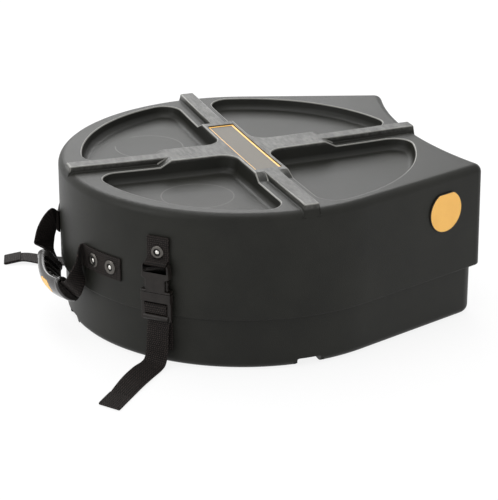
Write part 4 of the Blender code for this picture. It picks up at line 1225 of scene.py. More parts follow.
@dataclass
class Lid:
    """The lid: a deep skirt and a sunken top with four pockets, a cross of ribs and a hub."""

    finishes: FinishSet
    corner: float = 0.01
    band_half: float = 0.02
    pocket_radius: float = 0.19
    pocket_inner_corner: float = 0.018
    pocket_outer_corner: float = 0.022
    pocket_fillet: float = 0.006
    pocket_draft: float = 0.16
    back_reach: float = 0.93
    rib_half: float = 0.0079
    rib_draft: float = 0.0016
    rib_root: float = 0.009
    rib_foot: float = 0.2049
    rib_ends: tuple[float, float, float, float] = (0.2, 0.203, 0.2025, 0.2012)
    arm_half: float = 0.09
    hub_half_length: float = 0.088
    hub_half_width: float = 0.026
    hub_centre: float = 0.039
    ramp: float = 0.013
    label_half: Pair = (0.0153, 0.0788)
    label_depth: float = 0.0024
    label_gap: float = 0.0003
    label_thick: float = 0.0008
    border: float = 0.0019
    edge_round: float = 0.0012
    valley: float = 0.0125
    slice_pitch: float = 0.0125
    pad_radius: float = 0.184
    pad_thickness: float = 0.006
    badge_radius: float = 0.0232
    badge_flat: float = 0.0025
    badge_height: float = 0.133
    badge_back: float = 0.059
    badge_thick: float = 0.0011

    def build(self) -> None:
        """Build the lid's shell, pad, label and badge."""
        self.shell()
        self.pad()
        self.label()
        self.badge()

    def pocket_outline(self, side_x: int, side_y: int, level: float) -> list[Vector]:
        """One pocket's plan: a quarter of a disc with round corners.

        Args:
            side_x: The sign of its X.
            side_y: The sign of its Y.
            level: Its height, at which its walls' draft moves it in or out.

        Returns:
            The points.
        """
        inset = (PLAN.rim - level) * self.pocket_draft
        edge = self.band_half + inset
        inner = self.band_half + self.pocket_inner_corner
        near = self.band_half + self.pocket_outer_corner
        far = math.sqrt((self.pocket_radius - self.pocket_outer_corner) ** 2 - near ** 2)
        swing, quarter = math.atan2(near, far), math.pi / 2
        points = arc((inner, inner), inner - edge, math.pi, 3 * quarter, 10)
        points += arc((far, near), near - edge, -quarter, swing, 9)
        points += arc((0.0, 0.0), self.pocket_radius - inset, swing, quarter - swing, 36)[1:-1]
        points += arc((near, far), near - edge, quarter - swing, math.pi, 9)
        reach = 1.0 if side_x > 0 else self.back_reach
        return [Vector((side_x * (edge + (point.x - edge) * reach), side_y * point.y, level))
                for point in points]

    def pocket(self, side_x: int, side_y: int) -> Shape:
        """The space of one pocket, with a round at its foot.

        Args:
            side_x: The sign of its X.
            side_y: The sign of its Y.

        Returns:
            The space as a solid.
        """
        floor, top = PLAN.pocket_floor, PLAN.rib_top + CLEAR
        space = Shape.slab("pocket", self.pocket_outline(side_x, side_y, floor),
                           UP * (top - floor), self.pocket_outline(side_x, side_y, top))
        return space.bevel(self.pocket_fillet, 5, at_level(floor))

    @staticmethod
    def rib(name: str, foot: Sequence[float], crest: Sequence[float], low: float,
            high: float) -> Shape:
        """A rib whose crest is drawn in by its own amount at each side.

        Args:
            name: Its name.
            foot: The least X and Y, then the greatest, at its foot.
            crest: The same at its crest.
            low: The height of its foot.
            high: The height of its crest.

        Returns:
            The rib.
        """
        lower, upper = (
            [Vector((*corner, level)) for corner in ((x0, y0), (x1, y0), (x1, y1), (x0, y1))]
            for (x0, y0, x1, y1), level in ((foot, low), (crest, high)))
        return Shape.slab(name, lower, UP * (high - low), upper)

    def ribs(self) -> list[Shape]:
        """The two narrow ribs and the three blocks of the hub.

        Returns:
            The five solids.
        """
        root, top, foot = PLAN.rim - self.rib_root, PLAN.rib_top, PLAN.rim - 0.002
        half, wide, end = self.rib_half, self.rib_half + self.rib_draft, self.rib_foot
        back, front, near, far = self.rib_ends
        made = [self.rib("rib_x", (-end, -wide, end, wide), (-back, -half, front, half), root,
                         top),
                self.rib("rib_y", (-wide, -end, wide, end), (-half, -near, half, far), root,
                         top)]
        ramp = self.ramp * (top - foot) / (top - PLAN.rim)
        arm, long_y = self.arm_half + ramp, self.hub_half_length + ramp
        half, centre = self.hub_half_width, self.hub_centre
        for x, y, scale in ((arm, half, (self.arm_half / arm, 1.0)),
                            (half, long_y, (1.0, self.hub_half_length / long_y)),
                            (centre, centre, (1.0, 1.0))):
            made.append(Shape.block("hub_block", (-x, -y, foot), (x, y, top), scale))
        return made

    def hollow(self) -> Shape:
        """The space inside the lid, stepped up round the pockets' floor.

        Returns:
            The space as a solid.
        """
        wall, flare = PLAN.lid_wall, PLAN.lid_flare
        low, ceiling = PLAN.lid_edge - CLEAR, PLAN.rim - wall
        corner = self.corner - wall
        space = Shape.slab("lid_hollow", PLAN.outline(wall - flare, corner + flare, low),
                           UP * (ceiling - low), PLAN.outline(wall, corner, ceiling))
        space.bevel(PLAN.lid_round - wall, 5, at_level(ceiling))
        return space.cut(Shape.drum("pocket_boss", self.pocket_radius + 0.0018,
                                    PLAN.pocket_floor - wall, PLAN.rim, 128))

    def plain(self, face: Face) -> bool:
        """Whether a face keeps the shell finish, without the edges' painted highlight.

        Args:
            face: The face.

        Returns:
            Whether it is below the top or in the hollow line at a rib's foot.
        """
        spot = face.calc_center_median()
        low, high = sorted((abs(spot.x), abs(spot.y)))
        valley = abs(spot.z - PLAN.rim) < 0.0025 and low < self.valley and high > self.arm_half
        return valley or spot.z < PLAN.rim - 0.002

    def shell(self) -> None:
        """Model the shell and let its top sink."""
        edge, rim, flare = PLAN.lid_edge, PLAN.rim, PLAN.lid_flare
        lid = Shape.slab("lid_shell_form", PLAN.outline(-flare, self.corner + flare, edge),
                         UP * (rim - edge), PLAN.outline(0.0, self.corner, rim))
        lid.bevel(PLAN.lid_round, 8, at_level(rim))
        cross, *blocks = self.ribs()
        lid.fuse(cross.fuse(*blocks).tidy())
        lid.cut(*[self.pocket(x, y) for x in (1, -1) for y in (1, -1)])
        lid.tidy(0.0004).carry(self.finishes.shell, self.finishes.edge)
        # The rounds get the lighter edge material as painted highlights, except below the top
        # and in the valleys at the ribs' feet.
        lid.soften(self.edge_round, 3, 38, 1).paint(0, self.plain)
        x, y = self.label_half
        lid.cut(Shape.block("label_recess", (-x, -y, PLAN.rib_top - self.label_depth),
                            (x, y, PLAN.rib_top + CLEAR)))
        lid.cut(self.hollow())
        lowest = PLAN.pocket_floor - PLAN.lid_wall - 0.0005
        count = int(self.pocket_radius / self.slice_pitch)
        places = [i * self.slice_pitch for i in range(-count, count + 1)]
        for axis in LEVEL_AXES:
            lid.slice(places, axis, lambda face: all(v.co.z > lowest for v in face.verts))
        lid.reshape(lambda point: PLAN.sag(point) if point.z > lowest else point)
        lid.smooth(35).seat(Body.LID, Slot.SHELL, [self.finishes.shell, self.finishes.edge],
                            ["lid_shell"])

    def pad(self) -> None:
        """The foam disc under the pockets."""
        top = PLAN.pocket_floor - PLAN.lid_wall - 0.0006
        foam = Shape.drum("lid_pad_form", self.pad_radius, top - self.pad_thickness, top, 128)
        foam.bevel(0.0018, 4, lambda edge: all(abs(v.co.z - top) > 0.001 for v in edge.verts))
        for axis in LEVEL_AXES:
            foam.slice([i * 0.02 for i in range(-9, 10)], axis, anything)
        foam.reshape(PLAN.sag).smooth(40).seat_foam(Body.LID, self.finishes, "lid_pad")

    def label(self) -> None:
        """The label: a bronze field inside a raised gold border."""
        x, y = (half - self.label_gap for half in self.label_half)
        low = PLAN.rib_top - self.label_depth + self.label_gap
        plate = Shape.block("name_plate_form", (-x, -y, low), (x, y, low + self.label_thick))

        def is_field(face: Face) -> bool:
            """Whether a face is the broad one inside the border."""
            return facing_up(face) and face.calc_area() > 0.001

        plate.paint(1, anything)
        plate.inset(self.border, -0.0003, facing_up)
        plate.inset(0.0001, 0.0, is_field)
        plate.paint(0, is_field)
        for axis, reach in zip(reversed(LEVEL_AXES), (y, x)):
            plate.slice([reach * i / 8 for i in range(-7, 8)], axis, anything)
        plate.reshape(PLAN.sag).smooth(30)
        plate.seat(Body.LID, Slot.LABEL, [self.finishes.field_plate, self.finishes.gold],
                   ["name_plate"], flat=False)

    def badge(self) -> None:
        """The round badge with a flat top, printed gold inside a dark line."""
        flank, radius, height = PLAN.flank, self.badge_radius, self.badge_height
        normal = Vector((math.cos(flank), -math.sin(flank), 0.0))
        along = Vector((math.sin(flank), math.cos(flank), 0.0))
        corner = Vector((PLAN.foot_reach, -PLAN.foot_half_width, 0.0))
        out = PLAN.wall_radius(height) - PLAN.radius + 0.0006
        middle = corner - along * self.badge_back + normal * out + UP * height
        points = []
        for turn in (math.tau * i / 96 for i in range(96)):
            rise = min(radius * math.sin(turn), radius - self.badge_flat)
            points.append(middle + along * (radius * math.cos(turn)) + UP * rise)
        disc = Shape.slab("side_badge_form", points, normal * self.badge_thick)

        def is_front(face: Face) -> bool:
            """Whether a face is the round one in front."""
            return face.normal.dot(normal) > 0.9 and len(face.verts) > 20

        disc.inset(0.0006, 0.0, is_front)
        disc.extrude(normal * -0.00015, is_front, 0.999)
        disc.paint(1, lambda face: not is_front(face))
        disc.smooth(30).seat(Body.LID, Slot.GOLD, [self.finishes.gold, self.finishes.ink],
                             ["side_badge"])


# Base

@dataclass
class Base:
    """The base: a deep tray with a stepped wall, a round foot and stacking grooves."""

    finishes: FinishSet
    corner: float = 0.019
    wall: float = 0.0034
    top: float = 0.168
    foot_round: float = 0.008
    step: float = 0.0012
    step_rise: float = 0.003
    taper: float = 0.0004
    groove_depth: float = 0.008
    groove_half: float = 0.0125
    hub_groove: Pair = (0.0235, 0.108)
    foam: float = 0.008
    floor_foam_radius: float = 0.1864
    foam_top: float = 0.149
    foam_low: float = 0.0117

    def build(self) -> None:
        """Build the tray and its foam."""
        self.shell()
        self.floor_pad()
        self.liner()

    def tray(self, name: str, wall: float, low: float, high: float) -> Shape:
        """A solid with the tray's stepped outside, or the hollow inside its wall.

        Args:
            name: Its name.
            wall: How far it stands inside the tray's outside.
            low: The height of its underside.
            high: The height of its top.

        Returns:
            The solid.
        """
        edge = PLAN.lid_edge
        solid = Shape.slab(name, PLAN.outline(PLAN.base_inset + wall, self.corner - wall, low),
                           UP * (edge - low))

        def is_top(face: Face) -> bool:
            """Whether a face is the broad one on top."""
            return facing_up(face) and len(face.verts) > 20

        solid.inset(self.step, 0.0, is_top)
        with solid.editing(Part.FACE, is_top):
            bpy.ops.transform.translate(value=(0, 0, self.step_rise))
        solid.extrude(UP * (high - edge - self.step_rise), is_top)
        return solid.bevel(self.foot_round - wall, 7, at_level(low))

    def grooves(self, grow: float, low: float, high: float, reach: float) -> list[Shape]:
        """The blocks of the stacking grooves or of the ridges over them.

        Args:
            grow: How much wider they are than the grooves.
            low: The height of their undersides.
            high: The height of their tops.
            reach: How far the narrow ones run.

        Returns:
            The blocks.
        """
        narrow = self.groove_half + grow
        wide, length = (size + grow for size in self.hub_groove)
        return [Shape.block("groove", (-x - 0.001, -y - 0.001, low), (x, y, high))
                for x, y in ((reach, narrow), (narrow, reach), (length, wide), (wide, length))]

    def shell(self) -> None:
        """Model the tray."""
        wall, depth = self.wall, self.groove_depth
        base = self.tray("base_shell_form", 0.0, 0.0, self.top)
        base.cut(self.tray("base_hollow", wall, wall, self.top + CLEAR))
        base.fuse(*self.grooves(wall, 0.9 * wall, depth + wall,
                                PLAN.radius - PLAN.base_inset - 0.8 * wall))
        base.cut(*self.grooves(0.0, -CLEAR, depth, PLAN.foot_reach + CLEAR))
        base.tidy(0.0003).soften(0.0008, 2, 40).smooth(35)
        base.seat(Body.BASE, Slot.SHELL, [self.finishes.shell], ["base_shell"])

    def floor_pad(self) -> None:
        """The foam disc on the floor's ridges."""
        low = self.foam_low
        foam = Shape.drum("floor_pad_form", self.floor_foam_radius, low, low + self.foam, 144)
        foam.bevel(0.0022, 4, lambda edge: all(v.co.z > low + 0.001 for v in edge.verts))
        foam.smooth(40).seat_foam(Body.BASE, self.finishes, "base_floor_pad")

    def liner(self) -> None:
        """The foam that lines the wall."""
        face = PLAN.base_inset + self.step + self.taper + self.wall + 0.0003
        corner = self.corner - self.step - self.wall
        low, rise = self.foam_low, self.foam_top - self.foam_low
        foam = Shape.slab("wall_liner_form", PLAN.outline(face, corner, low), UP * rise)
        inner = PLAN.outline(face + self.foam, corner - self.foam, low - CLEAR)
        foam.cut(Shape.slab("liner_hollow", inner, UP * (rise + 2 * CLEAR)))
        profile = [(0.0, -0.0112), (0.009, -0.0112), (0.009, 0.0), (0.0, 0.0)]
        for side in Side:
            place = WallPlace(side.value * 135.0)
            foam.cut(Shape.lathe("rivet_recess", profile, place.point(0.0, -0.002, 0.03),
                                 place.out, 32))
        foam.soften(0.0022, 4, 60).smooth(50)
        foam.seat_foam(Body.BASE, self.finishes, "base_wall_liner")


# Fasteners

@dataclass(frozen=True)
class Rivet:
    """A hollow-headed nickel rivet: a domed flange in a darker copy of the nickel as painted
    shade, a well painted near black as the shade in its hollow, and a bright dome in it.
    """

    finishes: FinishSet
    head_radius: float = 0.007
    head: float = 0.0014
    shank: float = 0.0023
    clinch_radius: float = 0.0042
    clinch: float = 0.0004
    well: float = 0.0038
    dome: float = 0.0023

    def fit(self, node: str, place: WallPlace, level: float, seat: float, inside: float,
            body: Body) -> None:
        """Model one rivet through the wall.

        Args:
            node: The CAD node that it replaces.
            place: Where it is round the wall.
            level: Its height.
            seat: The distance of the face under its head.
            inside: The distance of its clinched end.
            body: The body that it rides on.
        """
        top, radius, well, dome = seat + self.head, self.head_radius, self.well, self.dome
        profile = [
            (0.0, inside - self.clinch), (self.clinch_radius, inside - self.clinch),
            (self.clinch_radius, inside), (self.shank, inside), (self.shank, seat),
            (radius - 0.0001, seat), (radius, seat + 0.0002), (radius - 0.0002, seat + 0.0007),
            (radius - 0.0007, top - 0.0002), (radius - 0.0013, top),
            (well + 0.0004, top - 0.0003), (well, seat + 0.0002), (dome, seat + 0.0002),
            (dome - 0.0001, seat + 0.0007), (dome * 0.75, seat + 0.0011),
            (dome * 0.4, seat + 0.0013), (0.0, seat + 0.00138)]
        start = place.point(0.0, 0.0, level)
        shape = Shape.lathe(node.replace("strap_", "") + "_form", profile, start, place.out)

        def reach(face: Face) -> float:
            """How far a face is from the rivet's axis."""
            away = face.calc_center_median() - start
            return (away - place.out * away.dot(place.out)).length

        # Painted shade: the well is painted near black and the flange takes the darker nickel;
        # the dome keeps the bright nickel.
        shape.paint(1, lambda face: reach(face) < well)
        shape.paint(2, lambda face: reach(face) < dome)
        metals = [self.finishes.flange, self.finishes.well, self.finishes.nickel]
        shape.smooth(38).seat(body, Slot.NICKEL, metals, [node], flat=False)


# Straps and buckles

@dataclass(frozen=True)
class LadderLevels:
    """Heights of the plug's neck and of the two bars under it."""

    neck: float = 0.0745
    bar_top: float = 0.069
    bar_bottom: float = 0.0632
    end_top: float = 0.0608
    end_bottom: float = 0.0538


def box(width: float, low: float, high: float) -> list[Pair]:
    """An upright rectangle of half a width."""
    return [(width, low), (width, high), (-width, high), (-width, low)]


@dataclass
class BuckleSet:
    """One strap across the seam: its webbing, rivets and side-release buckle."""

    finishes: FinishSet
    side: Side
    tail: Rows
    web: float = 0.0014
    gap: float = 0.0003
    seat_gap: float = 0.0005
    lid_rivet: float = 0.1278
    base_rivet: float = 0.03
    tab_top: float = 0.144
    low_end: float = 0.017
    socket_top: float = 0.1165
    socket_bar: float = 0.0045
    bar_front: float = 0.0082
    socket_out: Pair = (0.0022, 0.0112)
    mouth: float = 0.0852
    windows: Pair = (0.0876, 0.0998)
    mouth_half: float = 0.017
    waist_half: float = 0.0112
    slot_half: float = 0.0132
    cavity_half: float = 0.0124
    cavity_top: float = 0.1031
    sleeve: float = 0.002
    plug_top: float = 0.0848
    plug_out: Pair = (0.0045, 0.0092)
    head_out: Pair = (0.0028, 0.0106)
    tongue_out: float = 0.0067
    tongue_half: float = 0.0011
    plug_skin: float = 0.0012
    bar_lean: float = 0.0008
    washer: float = 0.0006
    ladder: LadderLevels = LadderLevels()

    def __post_init__(self) -> None:
        """Find the buckle's place on the wall."""
        self.place = WallPlace(self.side.value * 135.0)

    def name(self, part: str) -> str:
        """The name of a node on this side."""
        return f"{self.side.word}_{part}"

    def build(self) -> None:
        """Build everything of this buckle."""
        self.straps()
        self.fasteners()
        self.socket()
        self.plug()
        for node in (self.name("prong_left"), self.name("prong_right")):
            prong = Shape.from_node(node).soften(0.0005, 3, 20, clamp=True).smooth(40)
            prong.seat(node, Slot.BUCKLE, [self.finishes.buckle], [node])

    def straps(self) -> None:
        """The lid's doubled webbing, and the base's adjustable strap with its free tail."""
        for part, body, rows, steps in (("lid_strap", Body.LID, self.lid_rows(), 5),
                                        ("base_strap", Body.BASE, self.base_rows(), 6)):
            strap = Ribbon(self.name(part) + "_form", self.web)
            strap.along_wall(self.place, rows, steps).seat(
                body, Slot.WEBBING, [self.finishes.webbing], [self.name(part)], flat=False)

    def lid_rows(self) -> Rows:
        """The route of the webbing that holds the socket.

        Returns:
            The rows from its end behind to its end in front.
        """
        web, gap, top, head = self.web, self.gap, self.socket_top, 0.0064
        back = self.seat_gap + web / 2
        front = back + web + gap
        low = top - self.socket_bar
        ease = gap + web / 2 + gap
        skew = ease * 0.7
        behind, ahead = self.socket_out[0], self.bar_front
        route = [
            (back, self.tab_top), (back, self.lid_rivet), (back, top + web),
            (back, low + web), (behind - skew, low - skew), (behind + web, low - ease),
            (ahead - web, low - ease), (ahead + skew, low - skew), (ahead + ease, low + web),
            (ahead + ease, top - web), (ahead + skew, top + skew),
            (front + web, self.lid_rivet - 1.3 * head), (front, self.lid_rivet - head),
            (front, self.lid_rivet), (front, self.tab_top)]
        return [(0.0, *row) for row in route]

    def base_rows(self) -> Rows:
        """The route of the strap that is laced through the ladder.

        Returns:
            The rows from its riveted end to the end of its tail.
        """
        web, gap, edge, ladder = self.web, self.gap, PLAN.lid_edge, self.ladder
        wall = -PLAN.base_inset - PLAN.lid_flare + self.seat_gap + web / 2
        up_run = self.seat_gap + web / 2
        behind = up_run + web + gap
        back, front = self.plug_out
        over, depth = front + gap + web / 2, (back + front) / 2
        middle = (ladder.bar_top + ladder.neck) / 2
        lower = (ladder.end_top + ladder.bar_bottom) / 2
        route = [
            (wall, self.low_end), (wall, self.base_rivet), (wall, edge - 9 * web),
            (wall + 2 * web, edge - 4 * web), (up_run + gap, edge - web / 2),
            (up_run, edge + 2 * web), (up_run, ladder.bar_top - web),
            (behind - web / 2, ladder.bar_top + web), (depth, middle),
            (front, middle - web / 4), (over, ladder.bar_top),
            (over, ladder.bar_bottom + web / 4), (front, lower + web / 3), (depth, lower),
            (back - web / 4, lower - web / 2), (behind, ladder.end_top - web / 2),
            (behind, ladder.end_bottom)]
        return [(0.0, *row) for row in route] + list(self.tail)

    def fasteners(self) -> None:
        """The strap's two rivets and their washers."""
        gap, web = self.gap, self.web
        face = -PLAN.base_inset - PLAN.lid_flare
        rivet = Rivet(self.finishes)
        rivet.fit(self.name("lid_strap_rivet"), self.place, self.lid_rivet,
                  self.seat_gap + 2 * gap + 2 * web,
                  -PLAN.lid_wall - 2 * gap - self.washer - gap, Body.LID)
        rivet.fit(self.name("base_strap_rivet"), self.place, self.base_rivet,
                  face + self.seat_gap + gap + web,
                  face - Base.wall - 2 * gap - self.washer - gap, Body.BASE)
        for part, body in (("lid_strap_washer", Body.LID), ("base_strap_washer", Body.BASE)):
            node = self.name(part)
            ring = Shape.from_node(node).soften(0.00015, 2, 50).smooth(40)
            ring.seat(body, Slot.NICKEL, [self.finishes.nickel], [node])

    def socket(self) -> None:
        """The upper half: a flat sleeve with a webbing bar and two side windows."""
        low, high = self.windows
        half, waist, top = self.mouth_half, self.waist_half, self.socket_top
        right = [(half, self.mouth), (half, low), (waist + 0.0006, low), (waist, low + 0.0006),
                 (waist, high - 0.0004), (waist + 0.0008, high), (0.0158, high + 0.0018),
                 (0.015, top - 0.0025), (0.0143, top - 0.0008), (0.0125, top)]
        outline = right + [(-across, level) for across, level in reversed(right)]
        back, front = self.socket_out
        body = self.place.plate(self.name("buckle_socket_form"), outline, back, front)
        body.bevel(0.0011, 3, lambda edge: any(
            abs(face.normal.dot(self.place.out)) > 0.9 for face in edge.link_faces))
        slot = top - self.socket_bar
        body.cut(*[self.place.plate(name, box(*sizes), start, end)
                   for name, sizes, start, end in (
                       ("cavity", (self.cavity_half, self.mouth - CLEAR, self.cavity_top),
                        back + self.sleeve, front - self.sleeve),
                       ("slot", (self.slot_half, slot - 0.0042, slot), back - CLEAR,
                        front + CLEAR),
                       ("recess", (self.slot_half, slot - CLEAR, top + CLEAR),
                        self.bar_front, front + CLEAR))])
        body.tidy(0.0001).soften(0.0005, 3, 40).smooth(35)
        body.seat(Body.LID, Slot.BUCKLE, [self.finishes.buckle], [self.name("buckle_socket")])

    def plug(self) -> None:
        """The lower half: a head with a tongue, and a ladder whose end bar leans out."""
        ladder, half, place, top = self.ladder, self.mouth_half, self.place, self.plug_top
        back, front = self.plug_out
        head_back, head_front = self.head_out
        head = place.plate(self.name("buckle_plug_form"), box(half, ladder.neck, top),
                           head_back, head_front)
        low, high, cut = ladder.end_bottom, ladder.neck + 0.002, 0.0016
        rounded = [(half - cut, low), (half, low + cut), (half, high), (-half, high),
                   (-half, low + cut), (-half + cut, low)]
        head.fuse(place.plate("plug_frame", rounded, back, front),
                  place.plate("plug_tongue", box(0.0016, high, 0.1),
                              self.tongue_out - self.tongue_half,
                              self.tongue_out + self.tongue_half))
        for slot in ((ladder.bar_top, ladder.neck), (low - 0.001, ladder.bar_bottom)):
            head.cut(place.plate("ladder_slot", box(self.slot_half, *slot),
                                 head_back - CLEAR, head_front + CLEAR))
        for sign in (-1, 1):
            notch = [(sign * across, top + rise) for across, rise in (
                (0.0075, -0.0058), (0.013, -0.0058), (0.013, CLEAR), (0.0075, CLEAR))]
            head.cut(place.plate("prong_notch", notch, head_back - CLEAR,
                                 head_front - self.plug_skin))
        head.tidy(0.0001).soften(0.0005, 3, 40)
        radius, length = (ladder.end_top - low) / 2, 2 * self.slot_half + CLEAR
        start = place.point(-self.slot_half - CLEAR / 2, (back + front) / 2 + self.bar_lean,
                            low + radius)
        profile = [(0.0, 0.0), (radius, 0.0), (radius, length), (0.0, length)]
        head.fuse(Shape.lathe("end_bar", profile, start, place.across, 36)).smooth(35)
        head.seat(Body.BASE, Slot.BUCKLE, [self.finishes.buckle], [self.name("buckle_plug")])


# Handle

@dataclass(frozen=True)
class GripForm:
    """Where the grip's points are: bowed along Y and tilted off the wall."""

    half_length: float = 0.0385
    bow: float = 0.01
    x: float = -0.2252
    y: float = -0.0092
    height: float = 0.0535
    slope: float = 0.0025
    tilt: float = 40.0

    def point(self, place: float, across: float, out: float) -> Vector:
        """A point of the grip.

        Args:
            place: Its share of the half length along Y.
            across: Its distance across the grip.
            out: Its distance out of the webbing's face.

        Returns:
            The point.
        """
        tilt = math.radians(self.tilt)
        face = Vector((-math.cos(tilt), 0.0, -math.sin(tilt)))
        wide = Vector((-math.sin(tilt), 0.0, math.cos(tilt)))
        turn = math.atan2(2 * self.bow * place, self.half_length)
        lean = face * math.cos(turn) + Vector((0.0, math.sin(turn), 0.0))
        middle = Vector((self.x, self.y + place * self.half_length,
                         self.height + self.slope * place))
        middle -= face * (self.bow * place ** 2)
        return middle + wide * across + lean * out


@dataclass
class Handle:
    """The carrying handle: webbing riveted at both ends, with a glossy moulded grip."""

    finishes: FinishSet
    rows: dict[Side, Rows]
    tab_height: float = 0.0965
    tab_angles: Pair = (148.4, 165.6)
    tab_out: float = 0.0012
    rivet_angles: Pair = (152.4, 160.0)
    rivet_seat: float = 0.0022
    clinch: float = -0.0046
    head_radius: float = 0.0077
    width: float = 0.025
    grip: GripForm = GripForm()
    half_width: float = 0.0165
    outer: float = 0.0095
    inner: float = 0.0065
    bore_half: float = 0.0142
    bore_thick: float = 0.0024
    bore_reach: float = 1.2
    window_pitch: float = 0.0125
    window_length: float = 0.009
    inset_half: Pair = (0.0105, 0.0072)
    inset_corner: float = 0.0045
    inset_rise: float = 0.007
    inset_shift: float = 0.0095
    bend_start: Triple = (-0.2084, 0.0, 0.0869)
    bend_end: Triple = (-0.2171, 0.0, 0.0753)

    def build(self) -> None:
        """Build the handle from tab to tab."""
        for side in Side:
            self.webbing(side)
            self.fasteners(side)
        self.moulding()
        low = self.outer - 0.0011
        plate = self.inset_shape("grip_inset_form", 0.0, low, low + 0.0012)
        plate.soften(0.0003, 3, 45).smooth(35)
        plate.seat(Body.HANDLE, Slot.GOLD, [self.finishes.gold], ["grip_inset"])

    def webbing(self, side: Side) -> None:
        """The webbing of one side, from its riveted tab to the middle of the grip.

        Args:
            side: The side.
        """
        sign = side.value
        start, end = self.tab_angles
        rows = []
        for i in range(9):
            place = WallPlace(sign * (start + (end - start) * i / 8))
            centre = place.point(0.0, self.tab_out, self.tab_height)
            rows.append((*centre, 0.0, 0.0, 1.0, self.width))
        rows += self.rows[side]
        wide = self.grip.point(0.0, 1.0, 0.0) - self.grip.point(0.0, 0.0, 0.0)
        for share in (1.15, 1.0, 0.88, 0.6, 0.3, 0.0):
            rows.append((*self.grip.point(sign * share, 0.0, 0.0), *wide, self.width))
        strap = Ribbon(side.word + "_handle_webbing").lay(smooth_route(rows, 5))
        piece = strap.seat(None, Slot.WEBBING, [self.finishes.webbing],
                           [side.word + "_handle_tab", "handle_strap"], flat=False)
        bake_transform(piece)

    def fasteners(self, side: Side) -> None:
        """One tab's two rivets and the plate behind them.

        Args:
            side: The side.
        """
        rivet = Rivet(self.finishes, self.head_radius)
        for word, angle in zip(("rear", "front"), reversed(self.rivet_angles)):
            rivet.fit(f"{side.word}_handle_rivet_{word}", WallPlace(side.value * angle),
                      self.tab_height, self.rivet_seat, self.clinch, Body.LID)
        node = side.word + "_handle_backing"
        plate = Shape.from_node(node).smooth(30)
        plate.seat(Body.LID, Slot.NICKEL, [self.finishes.nickel], [node])

    def ring(self, place: float, grow: float, sides: int) -> list[Vector]:
        """A ring of the grip's section: round outside, flatter on the finger side.

        Args:
            place: Its share of the half length.
            grow: How much it is swollen.
            sides: Its points.

        Returns:
            The ring's points.
        """
        points = []
        for turn in (math.tau * i / sides for i in range(sides)):
            high, depth = math.sin(turn), self.outer + grow
            if high < 0:
                high, depth = -min(-high / 0.8, 1.0), self.inner + grow
            points.append(self.grip.point(place, (self.half_width + grow) * math.cos(turn),
                                          depth * high))
        return points

    def moulding(self) -> None:
        """The moulded grip, with its bore and the windows on its finger side."""
        places = [-1.0, -0.985, -0.955, -0.925, -0.895, -0.87]
        places += [i / 10 for i in range(-8, 9)] + [-value for value in reversed(places)]
        grows = {1.0: -0.0004, 0.985: 0.0004, 0.955: 0.0011, 0.925: 0.0011, 0.895: 0.0004}
        grip = Shape.loft("handle_grip_form", [
            self.ring(place, grows.get(abs(place), 0.0), 32) for place in places])
        grip.cut(self.bore())
        for step in (-2, -1, 0, 1, 2):
            first, last = ([self.grip.point(
                (step * self.window_pitch + end * self.window_length / 2)
                / self.grip.half_length, across, out)
                for across, out in ((0.0138, 0.0), (-0.0105, 0.0), (-0.0105, -0.013),
                                    (0.0138, -0.013))] for end in (-1, 1))
            grip.cut(Shape.slab("window", first, Vector((0, 0.001, 0)), last))
        grip.cut(self.inset_shape("inset_seat", 0.0003, self.outer - 0.0014,
                                  self.outer + CLEAR))
        grip.tidy(0.0001).soften(0.0005, 3, 45).smooth(35)
        grip.seat(Body.HANDLE, Slot.GRIP, [self.finishes.grip], ["handle_grip"])

    def bore(self) -> Shape:
        """The bore that the webbing runs through.

        Returns:
            The bore as a solid.
        """
        shape = Shape.primitive("grip_bore", bpy.ops.mesh.primitive_grid_add,
                                x_subdivisions=1, y_subdivisions=16, size=1.0)
        shape.reshape(lambda point: self.grip.point(
            point.y * 2 * self.bore_reach, point.x * 2 * self.bore_half, 0.0))
        return shape.modify("SOLIDIFY", thickness=self.bore_thick, offset=0.0)

    def inset_shape(self, name: str, grow: float, low: float, high: float) -> Shape:
        """The rounded inset on the grip's outer face.

        Args:
            name: Its name.
            grow: How much it is grown.
            low: The distance of its back.
            high: The distance of its front.

        Returns:
            The solid.
        """
        (half_length, half_width), corner = self.inset_half, self.inset_corner
        lower, upper = [], []
        for i, (side_y, side_w) in enumerate(((1, 1), (-1, 1), (-1, -1), (1, -1))):
            for spot in arc((side_y * (half_length - corner), side_w * (half_width - corner)),
                            corner + grow, i / 2 * math.pi, (i + 1) / 2 * math.pi, 6):
                place = (spot.x - self.inset_shift) / self.grip.half_length
                across = spot.y + self.inset_rise
                drop = self.outer * (1 - math.sqrt(1 - (across / self.half_width) ** 2))
                lower.append(self.grip.point(place, across, low - drop))
                upper.append(self.grip.point(place, across, high - drop))
        return Shape.slab(name, lower, upper[0] - lower[0], upper)


# Studio

@dataclass(frozen=True)
class Lamp:
    """One soft area light."""

    name: str
    place: Triple
    size: float
    power: float
    aim: Triple = (0.0, 0.0, 0.1)

    def hang(self) -> None:
        """Hang the lamp."""
        light = bpy.data.lights.new(self.name, "AREA")
        light.energy, light.size = self.power, self.size
        obj = bpy.data.objects.new(self.name, light)
        bpy.context.scene.collection.objects.link(obj)
        obj.location = self.place
        turn = Vector(self.aim) - Vector(self.place)
        obj.rotation_euler = turn.to_track_quat("-Z", "Y").to_euler()


